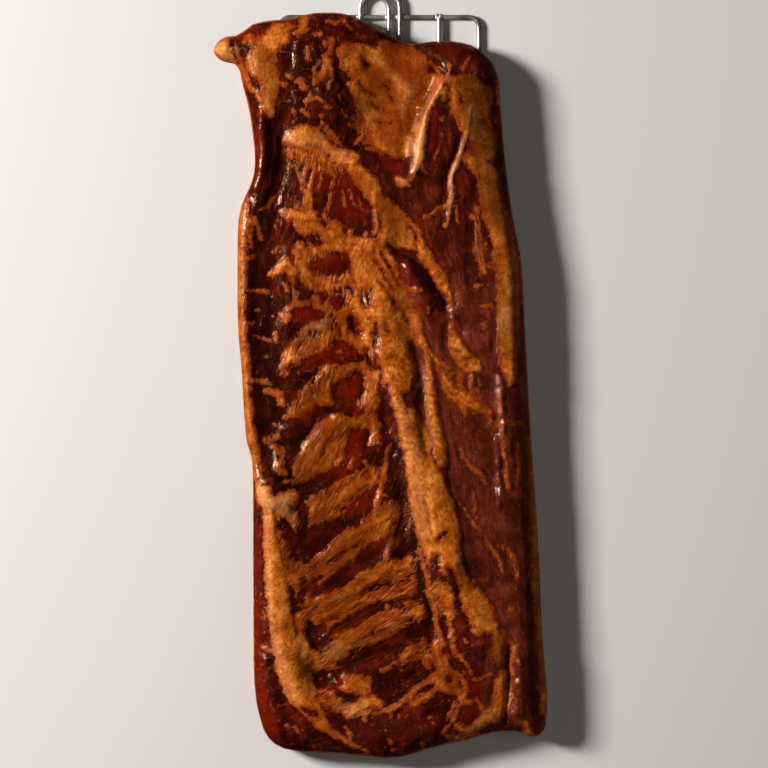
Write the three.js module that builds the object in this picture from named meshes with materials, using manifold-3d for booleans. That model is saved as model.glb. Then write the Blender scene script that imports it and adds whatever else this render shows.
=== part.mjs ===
// A whole slab of smoked belly bacon, lying rib side up on the wire hanger that it was smoked on.
// Millimetres, +Z up. The origin is the middle of the slab's flat resting face, and +Y points to the hanger.
import * as THREE from "three";
import { mergeVertices } from "three/addons/utils/BufferGeometryUtils.js";
import Module from "manifold-3d";

const wasm = await Module();
wasm.setup();

// The slab's driving sizes.
const slab = {
  thickness: 37, // at the middle of the rib side
  thinner: 5, // how much less the flank side and the two ends have
  rimHeight: 14, // where the sides stand out furthest
  upperRounding: 16, // from the rim up to the rib side
  lowerRounding: 8, // from the rim down to the resting face
  gridStep: 8.2,
  rimSteps: [0, 1.3, 4.2, 8.6, 14.5], // grid lines close together where the edge rounds over
};

// The hanger's driving sizes: one welded piece of round stainless wire.
const hanger = {
  wireRadius: 2.25,
  wireSides: 8,
  halfWidth: 88,
  tinePitch: 35.2,
  barY: 322,
  cornerRadius: 9,
  tineBendY: 262, // where the tines turn up into the meat
  prongHeight: 20,
  prongLean: 6, // the prongs lean back towards the bar, so that the slab can't slip off
  sunk: 1.6, // how far the upright wires stand above the bar that they are welded through
  eyeReturnX: 8.6, // the short leg of the eye
  eyeReturnY: 286,
  clearance: 0.4, // between the hanger and the slab
};

// The slab's outline, one spline a side, from corner to corner.
const corners = {
  lowerLeft: [-102, -306],
  lowerRight: [145, -304],
  upperRight: [98.5, 280.5],
  earTip: [-146.5, 291],
};
const outline = {
  left: [corners.lowerLeft, [-108, -284], [-110.5, -255], [-111, -206], [-111.3, -120], [-111.8, -72], [-116.5, -54],
    [-118.5, -37], [-121, 5], [-124.5, 50], [-125, 95], [-124, 142], [-119, 161], [-112, 176], [-109.6, 195],
    [-111.3, 217], [-115.5, 243], [-120.5, 262], [-123, 275], [-127.5, 281.5], [-134.5, 282.5], [-141.5, 285],
    corners.earTip],
  right: [corners.lowerRight, [146.5, -285], [145.5, -262], [142.5, -225], [139.5, -160], [136, -100], [132.5, -50],
    [129.5, 0], [126, 70], [123.5, 108], [117, 142], [110.5, 186], [105.5, 243], [103.8, 267], corners.upperRight],
  lower: [corners.lowerLeft, [-96, -315], [-86, -321.5], [-68, -324.5], [-38, -326], [-10, -328.5], [6, -330],
    [20, -329], [38, -324], [54, -319], [74, -315], [92, -309.5], [107, -306.5], [122, -307], [131, -311],
    [139, -311], corners.lowerRight],
  upper: [corners.earTip, [-142.5, 299], [-135, 303.5], [-126, 304], [-119, 309], [-110, 315], [-94, 317.6],
    [-80, 318.9], [-69, 321.6], [-58, 323.9], [-36, 323.9], [-27, 322], [-20, 318.9], [-8, 313.3], [6, 307],
    [20, 298.5], [30, 296.5], [44, 298.8], [62, 299.2], [80, 295.8], [90, 289.5], corners.upperRight],
};

// Where the ribs were pulled: bars of lean that slant across the rib side, from the flank up to the loin.
const ribs = {
  firstX: -42,
  firstY: 103,
  pitch: 45,
  slopes: [0.04, 0.12, 0.3, 0.45, 0.68, 0.72, 0.64, 0.44, 0.42],
  halfLength: 36,
  halfWidth: 8,
  height: 3.2,
  driftX: 4, // each bar starts a little further to the right than the one above
};

// Long swellings (height above 0) and furrows (below 0), each along a few points.
const swells = [
  { name: "loin fat ridge", height: 5.5, halfWidth: 17, path: [[2, 70], [14, 5], [34, -60], [46, -120], [58, -165]] },
  { name: "loin fat tail", height: 4, halfWidth: 13, path: [[60, -165], [78, -200], [90, -226]] },
  { name: "skirt muscle", height: 4, halfWidth: 12, path: [[22, 108], [37, 78], [50, 45], [60, 20]] },
  { name: "skirt crevice", height: -4, halfWidth: 10, path: [[24, 116], [43, 92], [56, 66], [68, 46]] },
  { name: "shoulder lip", height: 6, halfWidth: 9, path: [[58, 266], [45, 243], [38, 215], [35, 190]] },
  { name: "shoulder flap", height: 4, halfWidth: 26, path: [[72, 262], [62, 215], [62, 170]] },
  { name: "tendon band", height: 3.5, halfWidth: 10, path: [[-78, 215], [-48, 205], [-20, 190], [0, 160], [2, 128]] },
  { name: "diaphragm roll", height: 4, halfWidth: 9, path: [[-18, 196], [8, 188], [26, 178]] },
  { name: "waist roll", height: 5, halfWidth: 8, path: [[-103, 232], [-101, 200], [-108, 172]] },
  { name: "waist hollow", height: -7, halfWidth: 14, path: [[-86, 212], [-84, 180], [-92, 150]] },
  { name: "edge furrow", height: -4, halfWidth: 12, path: [[-96, 120], [-98, 50], [-98, -10], [-90, -60]] },
  { name: "belly fat band", height: 5, halfWidth: 14, path: [[-96, -96], [-90, -150], [-86, -210], [-72, -262], [-50, -292]] },
  { name: "side slit", height: -5, halfWidth: 5, path: [[113, -238], [114, -268], [113, -298]] },
  { name: "side roll", height: 3, halfWidth: 8, path: [[124, -236], [124, -268], [122, -296]] },
];

// Round swellings and hollows, each with its own half sizes along X and Y.
const lumps = [
  { name: "brisket knob", height: 6, centre: [-58, 284], halfSizes: [34, 30] },
  { name: "ragged lean", height: 4, centre: [-48, 243], halfSizes: [26, 15] },
  { name: "cheek fat", height: 3, centre: [-104, 272], halfSizes: [17, 24] },
  { name: "membrane dish", height: -8, centre: [14, 258], halfSizes: [30, 44] },
  { name: "upper dish", height: -5, centre: [-12, 228], halfSizes: [20, 26] },
  { name: "rib bed", height: -4, centre: [-38, -60], halfSizes: [58, 200] },
  { name: "lower pit", height: -5, centre: [-50, -258], halfSizes: [18, 13] },
  { name: "flank swell", height: 3, centre: [92, -60], halfSizes: [30, 150] },
  { name: "end swell", height: 3, centre: [30, -288], halfSizes: [50, 22] },
];

// The underside lifts off the floor over the hanger, and comes down again outside it.
const lift = { height: 6.9, startY: 205, fullY: 250, fullHalfWidth: 94, endHalfWidth: 112 };

const smooth = (t) => THREE.MathUtils.smoothstep(t, 0, 1);
const bell = (t) => Math.exp(-t * t);

// The distance from a point to a line of points.
function distanceTo(points, x, y) {
  let least = Infinity;
  for (let i = 1; i < points.length; i++) {
    const [ax, ay] = points[i - 1];
    const [bx, by] = points[i];
    const [dx, dy] = [bx - ax, by - ay];
    const squared = dx * dx + dy * dy || 1; // two sides of the outline share their corner point
    const along = THREE.MathUtils.clamp(((x - ax) * dx + (y - ay) * dy) / squared, 0, 1);
    least = Math.min(least, Math.hypot(x - ax - along * dx, y - ay - along * dy));
  }
  return least;
}

function splineThrough(points) {
  return new THREE.SplineCurve(points.map(([x, y]) => new THREE.Vector2(x, y)));
}

const sides = Object.fromEntries(Object.entries(outline).map(([name, points]) => [name, splineThrough(points)]));

// The whole outline as a closed line of points, for measuring how far inside it a point is.
function outlineLine() {
  const pointsPerSide = 120;
  const along = (name) => sides[name].getSpacedPoints(pointsPerSide).map((p) => [p.x, p.y]);
  return [...along("lower"), ...along("right"), ...along("upper").reverse(), ...along("left").reverse()];
}
const rimLine = outlineLine();

// The bars of lean between the pulled ribs, as one line each.
const ribLines = ribs.slopes.map((slope, i) => {
  const [x, y] = [ribs.firstX + ribs.driftX * i, ribs.firstY - ribs.pitch * i];
  const reach = ribs.halfLength / Math.hypot(1, slope);
  return [[x - reach, y - slope * reach], [x + reach, y + slope * reach]];
});

// The height of the rib side above the floor, away from the rounded edge.
function ribSideHeight(x, y) {
  const towardsFlank = smooth((x + 20) / 150);
  const towardsEnds = smooth((Math.abs(y) - 180) / 160);
  let z = slab.thickness - slab.thinner * Math.max(towardsFlank, towardsEnds);
  for (const s of swells) z += s.height * bell(distanceTo(s.path, x, y) / s.halfWidth);
  for (const l of lumps) z += l.height * bell(Math.hypot((x - l.centre[0]) / l.halfSizes[0], (y - l.centre[1]) / l.halfSizes[1]));
  for (const line of ribLines) z += ribs.height * bell(distanceTo(line, x, y) / ribs.halfWidth);
  return z;
}

// The height of the underside, which is flat on the floor but over the hanger.
function undersideHeight(x, y) {
  const lengthways = smooth((y - lift.startY) / (lift.fullY - lift.startY));
  const across = 1 - smooth((Math.abs(x) - lift.fullHalfWidth) / (lift.endHalfWidth - lift.fullHalfWidth));
  return lift.height * lengthways * across;
}

// A quarter round: 0 at the rim, 1 once the rounding is over.
function quarterRound(inside, rounding) {
  const t = Math.min(inside / rounding, 1);
  return Math.sqrt(1 - (1 - t) * (1 - t));
}

// Grid lines across a stretch, as shares of it: close together near both ends and even between them.
function gridLines(stretch) {
  const rim = slab.rimSteps;
  const margin = rim[rim.length - 1];
  const even = Math.round((stretch - 2 * margin) / slab.gridStep);
  const middle = Array.from({ length: even - 1 }, (_, i) => margin + ((i + 1) * (stretch - 2 * margin)) / even);
  return [...rim, ...middle, ...rim.map((r) => stretch - r).reverse()].map((s) => s / stretch);
}

// A point inside the outline, from shares u across and v along, blended between the four sides.
function planPoint(u, v) {
  const [lower, upper] = [sides.lower.getPointAt(u), sides.upper.getPointAt(u)];
  const [left, right] = [sides.left.getPointAt(v), sides.right.getPointAt(v)];
  const blend = (axis, c) =>
    (1 - v) * lower[axis] + v * upper[axis] + (1 - u) * left[axis] + u * right[axis] -
    (1 - u) * (1 - v) * corners.lowerLeft[c] - u * (1 - v) * corners.lowerRight[c] -
    (1 - u) * v * corners.earTip[c] - u * v * corners.upperRight[c];
  return [blend("x", 0), blend("y", 1)];
}

// The slab: an upper and a lower grid that share their rim.
function slabGeometry() {
  const width = 240;
  const length = 610;
  const [across, along] = [gridLines(width), gridLines(length)];
  const positions = [];
  const rows = [];
  for (const v of along) {
    const row = [];
    for (const u of across) {
      const [x, y] = planPoint(u, v);
      const onRim = u === 0 || u === 1 || v === 0 || v === 1;
      const inside = onRim ? 0 : distanceTo(rimLine, x, y);
      const under = undersideHeight(x, y);
      const rim = Math.max(slab.rimHeight, under + slab.rimHeight / 2);
      const top = rim + (ribSideHeight(x, y) - rim) * quarterRound(inside, slab.upperRounding);
      const bottom = rim - (rim - under) * quarterRound(inside, slab.lowerRounding);
      const upper = positions.push(x, y, top) / 3 - 1;
      const lower = onRim ? upper : positions.push(x, y, bottom) / 3 - 1;
      row.push([upper, lower]);
    }
    rows.push(row);
  }
  const faces = [];
  for (let j = 1; j < rows.length; j++) {
    for (let i = 1; i < rows[j].length; i++) {
      const [a, b, c, d] = [rows[j - 1][i - 1], rows[j - 1][i], rows[j][i], rows[j][i - 1]];
      faces.push(a[0], b[0], c[0], a[0], c[0], d[0]);
      faces.push(a[1], c[1], b[1], a[1], d[1], c[1]);
    }
  }
  const geometry = new THREE.BufferGeometry();
  geometry.setAttribute("position", new THREE.Float32BufferAttribute(positions, 3));
  geometry.setIndex(faces);
  return geometry;
}

// A wire's centre line through given points, with a step at each point, so that straight runs take no extra faces.
class WireLine extends THREE.Curve {
  constructor(points) {
    super();
    this.points = points;
  }
  getPoint(t, target = new THREE.Vector3()) {
    const at = t * (this.points.length - 1);
    const i = Math.min(Math.floor(at), this.points.length - 2);
    return target.lerpVectors(this.points[i], this.points[i + 1], at - i);
  }
  getPointAt(u, target) {
    return this.getPoint(u, target);
  }
  getTangentAt(u, target = new THREE.Vector3()) {
    const half = 0.5 / (this.points.length - 1);
    const [before, after] = [this.getPoint(Math.max(u - half, 0)), this.getPoint(Math.min(u + half, 1))];
    return target.subVectors(after, before).normalize();
  }
  getSpacedPoints(steps) {
    return this.getPoints(steps);
  }
}

function wireGeometry(points, radius = hanger.wireRadius) {
  const section = new THREE.Shape();
  for (let i = 0; i < hanger.wireSides; i++) {
    const angle = (2 * Math.PI * (i + 0.5)) / hanger.wireSides;
    const [x, y] = [radius * Math.cos(angle), radius * Math.sin(angle)];
    if (i === 0) section.moveTo(x, y);
    else section.lineTo(x, y);
  }
  return new THREE.ExtrudeGeometry(section, { steps: points.length - 1, bevelEnabled: false, extrudePath: new WireLine(points) });
}

// Points on an arc in the hanger's plane, angles in degrees.
function arcPoints(centreX, centreY, z, radius, from, to, steps) {
  return Array.from({ length: steps + 1 }, (_, i) => {
    const angle = THREE.MathUtils.degToRad(from + ((to - from) * i) / steps);
    return new THREE.Vector3(centreX + radius * Math.cos(angle), centreY + radius * Math.sin(angle), z);
  });
}

// The turned-up end of a tine, from its straight run to the tip of the prong.
function prongPoints(x, z) {
  const bend = 5;
  const y = hanger.tineBendY;
  const turn = [0, 0.25, 0.5, 0.75, 1].map((t) => {
    const angle = (t * Math.PI) / 2;
    return new THREE.Vector3(x, y + bend - bend * Math.sin(angle), z + bend - bend * Math.cos(angle));
  });
  return [...turn, new THREE.Vector3(x, y + hanger.prongLean, hanger.prongHeight)];
}

const barZ = hanger.wireRadius * Math.cos(Math.PI / hanger.wireSides); // the bar rests on one of its flats
const uprightZ = barZ + hanger.sunk;

// The bar, with both of its ends bent down into the outer tines.
function frameWire() {
  const [w, r] = [hanger.halfWidth, hanger.cornerRadius];
  const corner = 5;
  return [
    ...prongPoints(w, barZ).reverse(),
    ...arcPoints(w - r, hanger.barY - r, barZ, r, 0, 90, corner),
    ...arcPoints(r - w, hanger.barY - r, barZ, r, 90, 180, corner),
    ...prongPoints(-w, barZ),
  ];
}

function tineWire(x) {
  return [new THREE.Vector3(x, hanger.barY, uprightZ), ...prongPoints(x, uprightZ)];
}

// An inner tine that rises past the bar, turns over into the eye and comes down behind the slab's edge.
function eyeWire() {
  const left = -hanger.tinePitch / 2 + 0.9;
  const radius = (hanger.eyeReturnX - left) / 2;
  return [
    new THREE.Vector3(hanger.eyeReturnX, hanger.eyeReturnY, uprightZ),
    ...arcPoints(left + radius, hanger.barY + 6, uprightZ, radius, 0, 180, 10),
    ...prongPoints(left, uprightZ),
  ];
}

// Its neighbour, which turns over further out and runs into the eye's long leg.
function outerEyeWire() {
  const [left, right] = [-hanger.tinePitch / 2 + 0.9, hanger.tinePitch / 2 + 0.4];
  const radius = (right - left) / 2;
  const landed = new THREE.Vector3(left, hanger.barY + 2, uprightZ);
  const over = arcPoints(left + radius, hanger.barY + 8, uprightZ, radius, 180, 0, 12);
  return [landed, ...over, ...prongPoints(right, uprightZ)];
}

// A closed mesh as a solid for cutting and joining, and back.
function solidOf(geometry) {
  const bare = geometry.clone();
  bare.deleteAttribute("normal");
  bare.deleteAttribute("uv");
  const merged = mergeVertices(bare, 1e-4);
  return new wasm.Manifold(
    new wasm.Mesh({
      numProp: 3,
      vertProperties: merged.attributes.position.array,
      triVerts: new Uint32Array(merged.index.array),
    }),
  );
}

function geometryOf(solid) {
  const mesh = solid.getMesh();
  const geometry = new THREE.BufferGeometry();
  geometry.setAttribute("position", new THREE.BufferAttribute(mesh.vertProperties, mesh.numProp));
  geometry.setIndex(new THREE.BufferAttribute(mesh.triVerts, 1));
  geometry.computeVertexNormals();
  return geometry;
}

const innerTines = [-1.5 * hanger.tinePitch, 1.5 * hanger.tinePitch];
const wires = [frameWire(), ...innerTines.map(tineWire), eyeWire(), outerEyeWire()];

// Each prong from the lower half of its bend to its tip.
const prongs = [...wires.map((points) => points.slice(-5)), frameWire().slice(0, 5).reverse()];

function hangerGeometry() {
  return geometryOf(wires.map((points) => solidOf(wireGeometry(points))).reduce((whole, wire) => whole.add(wire)));
}

// The slab with a hole for each prong.
function piercedSlabGeometry() {
  const loose = hanger.wireRadius + hanger.clearance;
  const holes = prongs.map((points) => {
    const [foot, tip] = points.slice(-2);
    const onwards = tip.clone().sub(foot).setLength(hanger.clearance);
    return solidOf(wireGeometry([...points.slice(0, -1), tip.clone().add(onwards)], loose));
  });
  return geometryOf(holes.reduce((rest, hole) => rest.subtract(hole), solidOf(slabGeometry())).simplify(0.02));
}

const smokedPork = new THREE.MeshStandardMaterial({ color: "#8a3a16", roughness: 0.4, metalness: 0 });
const drawnSteel = new THREE.MeshStandardMaterial({ color: "#c9c7c4", roughness: 0.25, metalness: 1 });

function named(name, geometry, material) {
  const mesh = new THREE.Mesh(geometry, material);
  mesh.name = name;
  return mesh;
}

const bacon = new THREE.Group();
bacon.add(named("slab", piercedSlabGeometry(), smokedPork));
bacon.add(named("hanger", hangerGeometry(), drawnSteel));

export default bacon;
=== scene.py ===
# A slab of smoked belly bacon on its wire hanger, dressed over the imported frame.
# Metres, +Z up, +Y along the slab to the hanger.
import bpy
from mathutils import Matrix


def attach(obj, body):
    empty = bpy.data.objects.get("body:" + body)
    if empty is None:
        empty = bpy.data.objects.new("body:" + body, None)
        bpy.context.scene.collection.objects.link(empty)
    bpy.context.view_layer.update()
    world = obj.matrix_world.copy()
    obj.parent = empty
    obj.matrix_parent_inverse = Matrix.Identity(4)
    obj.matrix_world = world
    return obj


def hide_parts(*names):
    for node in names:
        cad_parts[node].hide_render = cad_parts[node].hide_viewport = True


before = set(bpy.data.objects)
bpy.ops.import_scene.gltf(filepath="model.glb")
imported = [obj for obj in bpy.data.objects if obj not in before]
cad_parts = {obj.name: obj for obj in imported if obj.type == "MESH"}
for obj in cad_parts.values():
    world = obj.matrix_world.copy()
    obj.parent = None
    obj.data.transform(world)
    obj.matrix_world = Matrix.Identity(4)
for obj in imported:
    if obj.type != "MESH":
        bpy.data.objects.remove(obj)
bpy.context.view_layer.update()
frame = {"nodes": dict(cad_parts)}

import math

import bpy
import numpy as np

mm = 0.001
print("frame loaded:", ", ".join(frame["nodes"]))


# Small helpers

def selectOnly(piece):
    bpy.ops.object.select_all(action="DESELECT")
    piece.select_set(True)
    bpy.context.view_layer.objects.active = piece


def linear(hexColor):
    # sRGB hex to the linear colour that shader sockets take
    parts = [int(hexColor[i:i + 2], 16) / 255 for i in (1, 3, 5)]
    return [c / 12.92 if c < 0.04045 else ((c + 0.055) / 1.055) ** 2.4 for c in parts] + [1.0]


def newMaterial(name):
    # a material, its shader and a function that adds one node with its settings, fixed values and links
    material = bpy.data.materials.new(name)
    material.use_nodes = True
    tree = material.node_tree

    def add(kind, feeds=None, out=0, stops=None, **settings):
        made = tree.nodes.new("ShaderNode" + kind)
        for setting, value in settings.items():
            setattr(made, setting, value)
        for socket, value in (feeds or {}).items():
            if isinstance(value, bpy.types.NodeSocket):
                tree.links.new(value, made.inputs[socket])
            else:
                made.inputs[socket].default_value = linear(value) if isinstance(value, str) else value
        if stops:
            ramp = made.color_ramp.elements
            while len(ramp) < len(stops):
                ramp.new(0.5)
            for element, (position, hexColor) in zip(ramp, stops):
                element.position = position
                element.color = linear(hexColor)
        return made.outputs[out]

    return material, tree, add


def smoothStep(t):
    t = np.clip(t, 0, 1)
    return t * t * (3 - 2 * t)


# Camera, light and floor

studio = {
    "lens": 250,           # mm, long, so that the slab is seen almost without perspective
    "sensor": 36,          # mm
    "viewWidth": 675.8,    # mm across the view at the slab's face
    "viewMiddle": (4.0, -1.8),
    "faceHeight": 20,      # mm, between the rib side and the widest part of the edges
    "keyPower": 165,
    "keySize": 0.62,
    "keyFrom": (-2.5, 0.8, 1.5),
    "fillPower": 11,
    "fillSize": 3.2,
    "fillFrom": (1.9, -0.7, 1.9),
    "worldColor": "#e6dccf",
    "worldStrength": 0.03,
    "floorColor": "#d8d5cf",
    "floorRoughness": 0.9,
    "floorSize": 8,
}


def makeStudio(values):
    camera = bpy.data.objects.new("camera", bpy.data.cameras.new("camera"))
    bpy.context.collection.objects.link(camera)
    camera.data.lens = values["lens"]
    camera.data.sensor_width = values["sensor"]
    away = values["viewWidth"] * values["lens"] / values["sensor"]
    x, y = values["viewMiddle"]
    camera.location = (x * mm, y * mm, (away + values["faceHeight"]) * mm)
    bpy.context.scene.camera = camera
    for name in ("key", "fill"):
        light = bpy.data.lights.new(name, "AREA")
        light.energy = values[name + "Power"]
        light.size = values[name + "Size"]
        softbox = bpy.data.objects.new(name, light)
        bpy.context.collection.objects.link(softbox)
        softbox.location = values[name + "From"]
        softbox.rotation_euler = (-softbox.location).to_track_quat("-Z", "Y").to_euler()
        softbox.visible_glossy = name == "key"  # the fill lifts the shade and leaves no veil on the gloss
    world = bpy.data.worlds.new("studio")
    bpy.context.scene.world = world
    world.use_nodes = True
    sky = world.node_tree.nodes["Background"]
    sky.inputs["Color"].default_value = linear(values["worldColor"])
    sky.inputs["Strength"].default_value = values["worldStrength"]
    bpy.context.scene.view_settings.view_transform = "Standard"

    bpy.ops.object.select_all(action="DESELECT")
    bpy.ops.mesh.primitive_plane_add(size=values["floorSize"])
    floor = bpy.context.object
    floor.name = "floor"
    material, tree, add = newMaterial("matt paint")  # an even pale ground with no gloss
    shader = tree.nodes["Principled BSDF"]
    shader.inputs["Base Color"].default_value = linear(values["floorColor"])
    shader.inputs["Roughness"].default_value = values["floorRoughness"]
    floor.data.materials.append(material)
    floor.visible_glossy = False  # so pale a ground would put a grey edge on wet dark meat


makeStudio(studio)
print("studio made")

prongPlaces = (-88, -52.8, -16.7, 18, 52.8, 88)  # mm, where the hanger enters the slab, from the left


# The slab

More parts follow.
